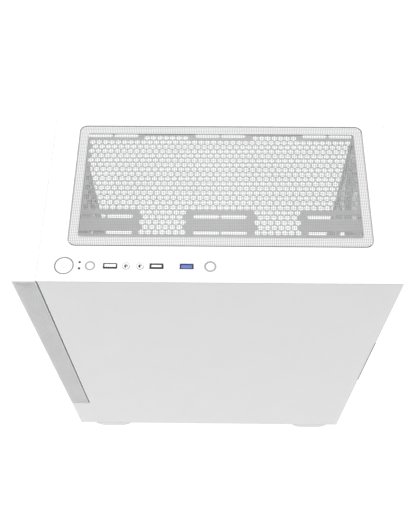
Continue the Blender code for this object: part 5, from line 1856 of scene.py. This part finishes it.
def power_cable():
    """The main power lead: a sleeved round bundle with a latched plug and a collar at each end."""
    route = [
        (42.0, -49.0, 356.0),
        (30.0, -51.0, 356.0),
        (25.0, -62.0, 355.0),
        (32.0, -78.0, 354.0),
        (50.0, -90.0, 353.0),
        (70.0, -95.0, 350.0),
        (84.0, -96.0, 342.0),
        (92.0, -96.0, 325.0),
        (92.5, -96.0, 290.0),
        (92.5, -96.0, 230.0),
        (92.5, -96.0, 170.0),
        (92.5, -94.0, 110.0),
        (92.5, -84.0, 82.0),
        (92.5, -62.0, 68.0),
        (92.5, -36.0, 65.0),
        (89.0, -14.0, 65.0),
        (76.0, 0.0, 65.0),
        (62.0, 10.0, 65.0),
        (55.0, 26.0, 65.0),
        (55.0, 40.0, 65.0),
        (55.0, PSU_Y[0] - GAP, 65.0),
    ]
    points = smooth_route(route, 6)
    piece("lead_sleeve", pipe(points, 4.9, 20), SLEEVE, ["power_cable"])
    collars = [pipe(points[2:7], 5.3, 20), pipe(points[-7:-1], 5.3, 20)]
    piece("lead_collars", collars, GREY)
    x, y, z = (40.0, 60.0 - GAP), (-54.0, -44.0), (330.5, 381.5)
    plug = [block(x, y, z, 0.5)]
    plug.append(block((x[0] + 3.0, x[1]), (y[1] - 0.2, y[1] + 2.2), about(middle(z), 3.0), 0.4))
    piece("lead_plug", plug, PLASTIC_WHITE)
    wires = []
    for row in (-51.4, -46.6):
        for level in spaced(z[0] + 2.3, 4.2, 12):
            mid = (x[0] - 6.0, row * 0.5 - 24.5, (level + 356.0) / 2)
            wires.append(
                pipe(smooth_route([(x[0] + 1, row, level), mid, (30.0, -50.5, 356.0)], 6), 0.95, 8)
            )
    piece("lead_wires", wires, SLEEVE)


# ---------------------------------------------------------------- motherboard

BOARD_X = (72.1, 73.7)
BOARD_DEPTH = 244.0
BOARD_Z = spans("motherboard")[2]
BOARD_Y = (spans("motherboard")[1][1] - BOARD_DEPTH, spans("motherboard")[1][1])
CPU = (105.0, 350.0)
DIMM_Y = (40.0, 30.5, 21.0, 11.5)
DIMM_Z = (284.0, 424.0)


def board_holes():
    """The board's nine screw holes, above the tray's standoffs."""
    across = (BOARD_Y[0] + 16.0, BOARD_Y[0] + 120.0, BOARD_Y[1] - 12.0)
    up = (BOARD_Z[0] + 7.0, BOARD_Z[0] + 135.0, BOARD_Z[1] - 10.0)
    return [(y, z) for y in across for z in up]


def on_board(y, z, reach, soft=0.3, steps=2):
    """A block that stands on the board's face."""
    return block((BOARD_X[0] - reach, BOARD_X[0] - 0.02), y, z, soft, steps)


def motherboard():
    """The board, with its sockets, slots, chokes, capacitors, chips and headers."""
    holes = [circle(spot, 2.0, 20) for spot in board_holes()]
    sheet = plate(rectangle(BOARD_Y, BOARD_Z, 1.5), *BOARD_X, "X", holes, 0.1)
    piece("board_sheet", sheet, BOARD, ["motherboard"])
    heads = [screw_head((BOARD_X[0] - 0.05, *spot), "-X", 2.9, 1.5) for spot in board_holes()]
    piece("board_screws", heads, SCREW_STEEL)
    white, grey, metal = [], [], []
    for i, y in enumerate(DIMM_Y):
        kind = white if i % 2 else grey
        kind.append(on_board((y - 3.0, y - 0.9), DIMM_Z, 6.0))
        kind.append(on_board((y + 0.9, y + 3.0), DIMM_Z, 6.0))
        kind.append(on_board(about(y, 3.0), DIMM_Z, 1.6))
        for end, inward in ((DIMM_Z[0], 1), (DIMM_Z[1], -1)):
            kind.append(on_board(about(y, 3.0), sorted((end, end + inward * 2.4)), 6.0))
            kind.append(
                on_board(
                    about(y, 1.8), sorted((end - inward * 3.0, end + inward * 2.0)), 11.0, 0.6
                )
            )
    for i in (0, 2, 4):
        z = SLOT_TOP - SLOT_PITCH * i
        kind = metal if i == 0 else grey
        for side in (-1, 1):
            kind.append(on_board((50.0, 139.0), sorted((z + side * 1.1, z + side * 3.8)), 10.6))
        kind.append(on_board((50.0, 139.0), about(z, 3.8), 3.0))
        kind.append(on_board((125.0, 126.6), about(z, 3.6), 10.2))
        white.append(on_board((40.0, 49.4), about(z, 3.2), 9.0, 0.8))
    for i in (1, 3, 5):
        z = SLOT_TOP - SLOT_PITCH * i
        for side in (-1, 1):
            grey.append(on_board((114.0, 139.0), sorted((z + side * 1.1, z + side * 3.8)), 10.6))
        grey.append(on_board((114.0, 139.0), about(z, 3.8), 3.0))
    white.append(on_board((-53.6, -44.0), (330.0, 382.0), 12.0, 0.4))
    eps_y = (BOARD_Y[1] - 60.0, BOARD_Y[1] - 42.0)
    eps_z = (BOARD_Z[1] - 12.0, BOARD_Z[1] - 2.0)
    eps = on_board(eps_y, eps_z, 12.0, 0.4)
    pins = []
    for i in range(4):
        for k in range(2):
            y = eps_y[0] + 2.6 + 4.25 * i
            z = eps_z[0] + 2.8 + 4.4 * k
            pins.append(block((55.0, 68.0), about(y, 1.5), about(z, 1.5), 0.0))
    grey.append(cut(eps, *pins))
    for z in spaced(200.0, 8.2, 4):
        shell = on_board((-50.0, -36.0), (z, z + 7.2), 10.0, 0.4)
        grey.append(cut(shell, block((63.5, 70.5), (-55.0, -41.0), (z + 1.6, z + 5.6), 0.0)))
    for i in range(9):
        y = BOARD_Y[0] + 30.0 + 22.0 * i
        kind = white if i % 3 else grey
        kind.append(on_board((y, y + 12.0), (BOARD_Z[0] + 3.0, BOARD_Z[0] + 8.4), 6.0))
    piece("white_sockets", white, PLASTIC_WHITE)
    piece("grey_sockets", grey, GREY)
    metal.append(on_board(about(CPU[0], 24.0), about(CPU[1], 26.0), 4.4, 0.6))
    metal.append(
        turned(
            [(0, -3.4), (9.6, -3.4), (10.0, -3.0), (10.0, 0), (0, 0)],
            (BOARD_X[0], 25.0, 175.0),
            "X",
            48,
        )
    )
    piece("metal_sockets", metal, NICKEL)
    chokes_and_cans()
    chips()
    board_covers()


def chokes_and_cans():
    """The power stages: square chokes round the processor, and round capacitors."""
    spots = [(72.0 + 8.4 * i, 398.0) for i in range(6)] + [
        (156.5, 308.0 + 9.0 * i) for i in range(9)
    ]
    chokes = [on_board(about(y, 3.4), about(z, 3.4), 6.2, 0.7, 3) for y, z in spots]
    piece("chokes", chokes, GREY)
    spots = [
        (149.0, 310.0 + 8.0 * i) for i in range(10)
    ] + [(54.0, 306.0 + 9.0 * i) for i in range(10)]
    spots += [(178.0, 150.0 + 11.0 * i) for i in range(9)] + [
        (-20.0, 300.0), (-20.0, 309.0), (-30.0, 420.0)
    ]
    spots += [(62.0, 268.0), (74.0, 268.0), (86.0, 268.0)]
    cans = []
    for y, z in spots:
        profile = [
            (0, -7.6), (2.5, -7.6), (3.0, -7.1), (3.0, -1.4), (2.8, -1.0), (3.0, -0.6), (3.0, 0),
            (0, 0),
        ]
        cans.append(turned(profile, (BOARD_X[0] - 0.02, y, z), "X", 20))
    piece("capacitors", cans, NICKEL)


def chips():
    """Flat packages with their rows of legs, and the tiny parts round them."""
    packages = [
        (160.0, 262.0, 6.0, 6.0),
        (164.0, 236.0, 5.0, 5.0),
        (-28.0, 262.0, 7.0, 7.0),
        (30.0, 265.0, 4.0, 3.0),
    ]
    packages += [
        (-35.0, 150.0, 8.0, 8.0),
        (90.0, 240.0, 3.0, 4.0),
        (154.0, 190.0, 6.0, 6.0),
        (-8.0, 416.0, 4.0, 5.0),
    ]
    bodies, legs = [], []
    for y, z, half_y, half_z in packages:
        bodies.append(on_board(about(y, half_y), about(z, half_z), 1.3, 0.2))
        count = int(half_z * 2 / 1.0)
        for level in spaced(z - half_z + 0.5, 1.0, count):
            legs.append(
                on_board((y - half_y - 0.9, y + half_y + 0.9), about(level, 0.2), 0.5, 0.0)
            )
    dice = random.Random(7)
    for _ in range(260):
        y = dice.uniform(BOARD_Y[0] + 6, BOARD_Y[1] - 28)
        z = dice.uniform(BOARD_Z[0] + 12, BOARD_Z[1] - 6)
        wide, tall = dice.choice([(0.5, 1.0), (1.0, 0.5), (0.8, 1.6), (1.2, 0.7)])
        kind = dice.choice([bodies, legs])
        kind.append(on_board(about(y, wide), about(z, tall), 0.7, 0.0))
    piece("chip_bodies", bodies, CHIP)
    piece("chip_legs", legs, NICKEL)


def ribbed_cover(y, z, reach, grooves):
    """A flat aluminium cover with chamfered edges and shallow grooves along it."""
    cover = plate(rectangle(y, z, 2.0), BOARD_X[0] - reach, BOARD_X[0] - 0.6, "X", (), 0.8, 2)
    cutters = []
    for i in range(grooves):
        level = z[0] + (z[1] - z[0]) * (i + 1) / (grooves + 1)
        cutters.append(
            block(
                (BOARD_X[0] - reach - 2, BOARD_X[0] - reach + 0.8),
                (y[0] - 2, y[1] + 2),
                about(level, 0.6),
                0.0,
            )
        )
    return cut(cover, *cutters)


def board_covers():
    """The chipset's and the storage slots' heat spreaders."""
    covers = [
        ribbed_cover((-14.0, 34.0), (196.0, 244.0), 7.0, 6),
        ribbed_cover((50.0, 138.0), (222.5, 245.0), 5.0, 2),
        ribbed_cover((50.0, 138.0), (182.0, 204.5), 5.0, 2),
    ]
    piece("board_spreaders", covers, ALUMINIUM)
    spots = [(56.0, 233.7), (132.0, 233.7), (56.0, 193.2), (132.0, 193.2)]
    heads = [screw_head((BOARD_X[0] - 4.6, *spot), "-X", 1.8, 0.9) for spot in spots]
    piece("spreader_screws", heads, SCREW_STEEL)


def memory():
    """Two memory modules with folded heat spreaders, ribbed along their free edge."""
    for name in ("a", "b"):
        node = "memory_module_" + name
        x, y, z = spans(node)
        side_x = (x[0], x[1] - 5.0)
        loop = [(side_x[1], z[0], 0.6), (side_x[1], z[1], 0.6)]
        for i in range(9):
            share = z[1] - (z[1] - z[0]) * i / 8
            depth = 0.0 if i % 2 else 3.0
            loop.append((side_x[0] + depth, share, 0.8))
        spreaders = []
        for low, high in ((y[0], y[0] + 1.9), (y[1] - 1.9, y[1])):
            sheet = plate(bent(loop), low, high, "Y", (), 0.3, 2)
            grooves = []
            for at in spaced(x[0] + 9.0, 6.0, 3):
                grooves.append(
                    block((at, at + 1.2), (y[0] - 2, y[0] + 0.4), (z[0] + 12.0, z[1] - 12.0), 0.0)
                )
                grooves.append(
                    block((at, at + 1.2), (y[1] - 0.4, y[1] + 2), (z[0] + 12.0, z[1] - 12.0), 0.0)
                )
            spreaders.append(cut(sheet, *grooves))
        spreaders.append(block((x[0] + 3.4, x[0] + 7.0), grown(y, -1.2), grown(z, -2.0), 0.3))
        piece(node + "_spreader", spreaders, ALUMINIUM, [node])
        card = block((x[0] + 4.0, x[1]), about(middle(y), 0.6), grown(z, -0.4), 0.1)
        piece(node + "_card", card, BOARD)


def power_stage_sink():
    """The finned heatsink above the power stages."""
    x, y, z = spans("power_stage_heatsink")
    parts = [block((x[1] - 5.6, x[1]), y, z, 0.6)]
    for at in spaced(y[0] + 2.0, 7.0, 8):
        parts.append(block((x[0], x[1] - 5.0), (at, at + 3.0), grown(z, -1.0), 0.5))
    piece("power_stage_fins", parts, ALUMINIUM, ["power_stage_heatsink"])


def cooler():
    """The processor cooler: forked radial fins round a copper core, on a sprung bracket."""
    x, _, _ = spans("cpu_cooler_heatsink")
    top = x[0] + 34.0
    fins = 36
    loop = []
    for i in range(fins):
        turn = 2 * math.pi * i / fins
        fork = 2 * math.pi / fins * 0.26
        for radius, offset in ((19.0, -0.42), (31.0, -0.42)):
            loop.append((radius, turn + offset / radius))
        loop += [(44.0, turn - fork - 0.35 / 44), (44.0, turn - fork + 0.35 / 44)]
        loop += [(33.0, turn)]
        loop += [(44.0, turn + fork - 0.35 / 44), (44.0, turn + fork + 0.35 / 44)]
        for radius, offset in ((31.0, 0.42), (19.0, 0.42)):
            loop.append((radius, turn + offset / radius))
    outline = [(CPU[0] + r * math.cos(t), CPU[1] + r * math.sin(t)) for r, t in loop]
    stack = plate(outline, x[0], top, "X", [circle(CPU, 14.0, 48)], 0.08)
    piece("cooler_fins", stack, ALUMINIUM_FINS, ["cpu_cooler_heatsink"])
    profile = [
        (0, x[0] + 1.0), (12.6, x[0] + 1.0), (13.8, x[0] + 2.2), (13.8, top + 3.0),
        (17.0, top + 3.4),
    ]
    profile += [(17.0, x[1] - 0.2), (0, x[1] - 0.2)]
    piece("cooler_core", turned(profile, (0, *CPU), "X", 56), COPPER)
    arms = []
    for sy in (-1, 1):
        for sz in (-1, 1):
            start = (top + 1.6, CPU[0] + sy * 12.0, CPU[1] + sz * 12.0)
            stop = (top + 1.6, CPU[0] + sy * 37.5, CPU[1] + sz * 37.5)
            arms.append(pipe([start, stop], 1.5, 10))
            spot = (0, CPU[0] + sy * 37.5, CPU[1] + sz * 37.5)
            profile = [
                (0, top - 1.0), (3.4, top - 1.0), (3.8, top - 0.4), (3.8, top + 3.2),
                (1.9, top + 3.4),
            ]
            profile += [(1.9, BOARD_X[0] - 0.1), (0, BOARD_X[0] - 0.1)]
            arms.append(turned(profile, spot, "X", 24))
            coil = []
            for k in range(61):
                angle = 2 * math.pi * k / 12
                level = top + 3.6 + k * 0.11
                coil.append(
                    (level, spot[1] + 2.9 * math.cos(angle), spot[2] + 2.9 * math.sin(angle))
                )
            arms.append(pipe(coil, 0.35, 6))
    piece("cooler_bracket", arms, NICKEL)


# ---------------------------------------------------------------- rear ports

# Each stack of ports: its lower and upper edge along Z, how far it stands off the board, and
# what it holds, as (kind, distance of the opening's middle from the board side).
PORT_STACKS = [
    (410.0, 424.0, 45.0, (("usb", 65.4), ("usb", 57.2), ("usb", 49.0))),
    (388.0, 402.0, 45.0, (("video", 64.4), ("video", 55.2), ("slim", 48.4))),
    (364.0, 380.0, 58.0, (("video", 64.4),)),
    (340.0, 356.0, 42.0, (("usb", 65.8), ("usb", 58.3), ("network", 49.0))),
    (316.0, 332.0, 42.0, (("usb3", 65.4), ("usb3", 56.0), ("usb3", 46.8))),
]
AUDIO_STACK = (284.0, 308.0, 40.0)
BLUE_RINGS = (0, 4)
OPENINGS = {
    "usb": (2.3, 6.4), "usb3": (2.3, 6.4), "video": (2.6, 6.6), "slim": (1.3, 4.2),
    "network": (4.5, 6.2),
}


def rear_ports():
    """The connectors at the board's rear edge, in the shield's cut-outs."""
    face = spans("rear_port_block")[1][1]
    base_y = (166.0, 186.0)
    shells, liners, tongues, blue = [], [], [], []
    for low, high, reach, sockets in PORT_STACKS:
        shell = block((reach, 69.5), (168.0, face), (low, high), 0.4)
        cutters = []
        for kind, x in sockets:
            half_x, half_z = OPENINGS[kind]
            z = middle((low, high))
            outline = around((x, z), half_x, half_z, 0.5, 3)
            cutters.append(plate(outline, face - 12.0, face + 5, "Y", (), 0.0))
            liners.append(plate(outline, face - 12.5, face - 10.5, "Y", (), 0.1))
            if kind == "network":
                for level in spaced(z - 3.6, 1.03, 8):
                    tongues.append(
                        block((x + 1.2, x + 3.2), (face - 9.0, face - 3.0), about(level, 0.2), 0.0)
                    )
                continue
            side = 0.9 if kind.startswith("usb") else 0.0
            thick = 0.8 if kind.startswith("usb") else 0.6
            spot = (x + side - thick, x + side + thick)
            kind_list = blue if kind == "usb3" else liners
            kind_list.append(
                block(spot, (face - 11.0, face - 1.2), (z - half_z + 0.9, z + half_z - 0.9), 0.15)
            )
        shells.append(cut(shell, *cutters))
    low, high, reach = AUDIO_STACK
    housing = block((reach, 69.5), (168.0, face - 0.8), (low, high), 0.5)
    bores = []
    rings = []
    for k, z in enumerate((low + 6.5, high - 6.5)):
        for i in range(3):
            x = 45.6 + 9.2 * i
            bores.append(rod(1.8, (face - 9, face + 4), (x, 0, z), "Y", 24))
            ring = [
                (1.85, face - 3.0), (3.4, face - 3.0), (3.4, face - 0.2), (2.9, face),
                (2.0, face), (1.85, face - 0.2),
            ]
            rings.append((k * 3 + i, turned([*ring, ring[0]], (x, 0, z), "Y", 32)))
    piece("audio_housing", cut(housing, *bores), BLACK)
    piece("audio_rings_blue", [mesh for i, mesh in rings if i in BLUE_RINGS], BLUE)
    piece("audio_rings_grey", [mesh for i, mesh in rings if i not in BLUE_RINGS], GREY)
    piece("port_shells", shells, NICKEL, ["rear_port_block"])
    root = block((62.0, 71.8), base_y, (282.0, 426.0), 0.5)
    piece("port_root", root, BLACK)
    piece("port_tongues", liners, BLACK)
    piece("port_tongues_blue", blue, BLUE)
    piece("port_contacts", tongues, GOLD)
    stacks = [row[:3] for row in PORT_STACKS] + [AUDIO_STACK]
    holes = [
        rectangle((reach - 0.5, 70.0), (low - 0.5, high + 0.5), 0.5, 3)
        for low, high, reach in stacks
    ]
    holes += [circle((34.5, 290.0 + 14.0 * i), 2.2, 20) for i in range(10)]
    shield = plate(rectangle(IO_X, IO_Z, 0.8), REAR - SHEET, REAR, "Y", holes, 0.2, 2)
    beads = []
    for low, high, reach in stacks:
        loop = rectangle((reach - 1.4, 70.9), (low - 1.4, high + 1.4), 1.2, 4)
        beads.append(pipe([(px, REAR - 0.05, pz) for px, pz in loop], 0.35, 6, True))
    piece("shield_sheet", [shield, *beads], ALUMINIUM, ["port_shield"], slot="bare_steel")


chassis_floor()
bottom_filter()
front_frame()
rear_panel()
board_tray()
shroud()
cage()
hard_drive()
small_drive()
power_supply()
power_cable()
motherboard()
memory()
power_stage_sink()
cooler()
rear_ports()
fans()
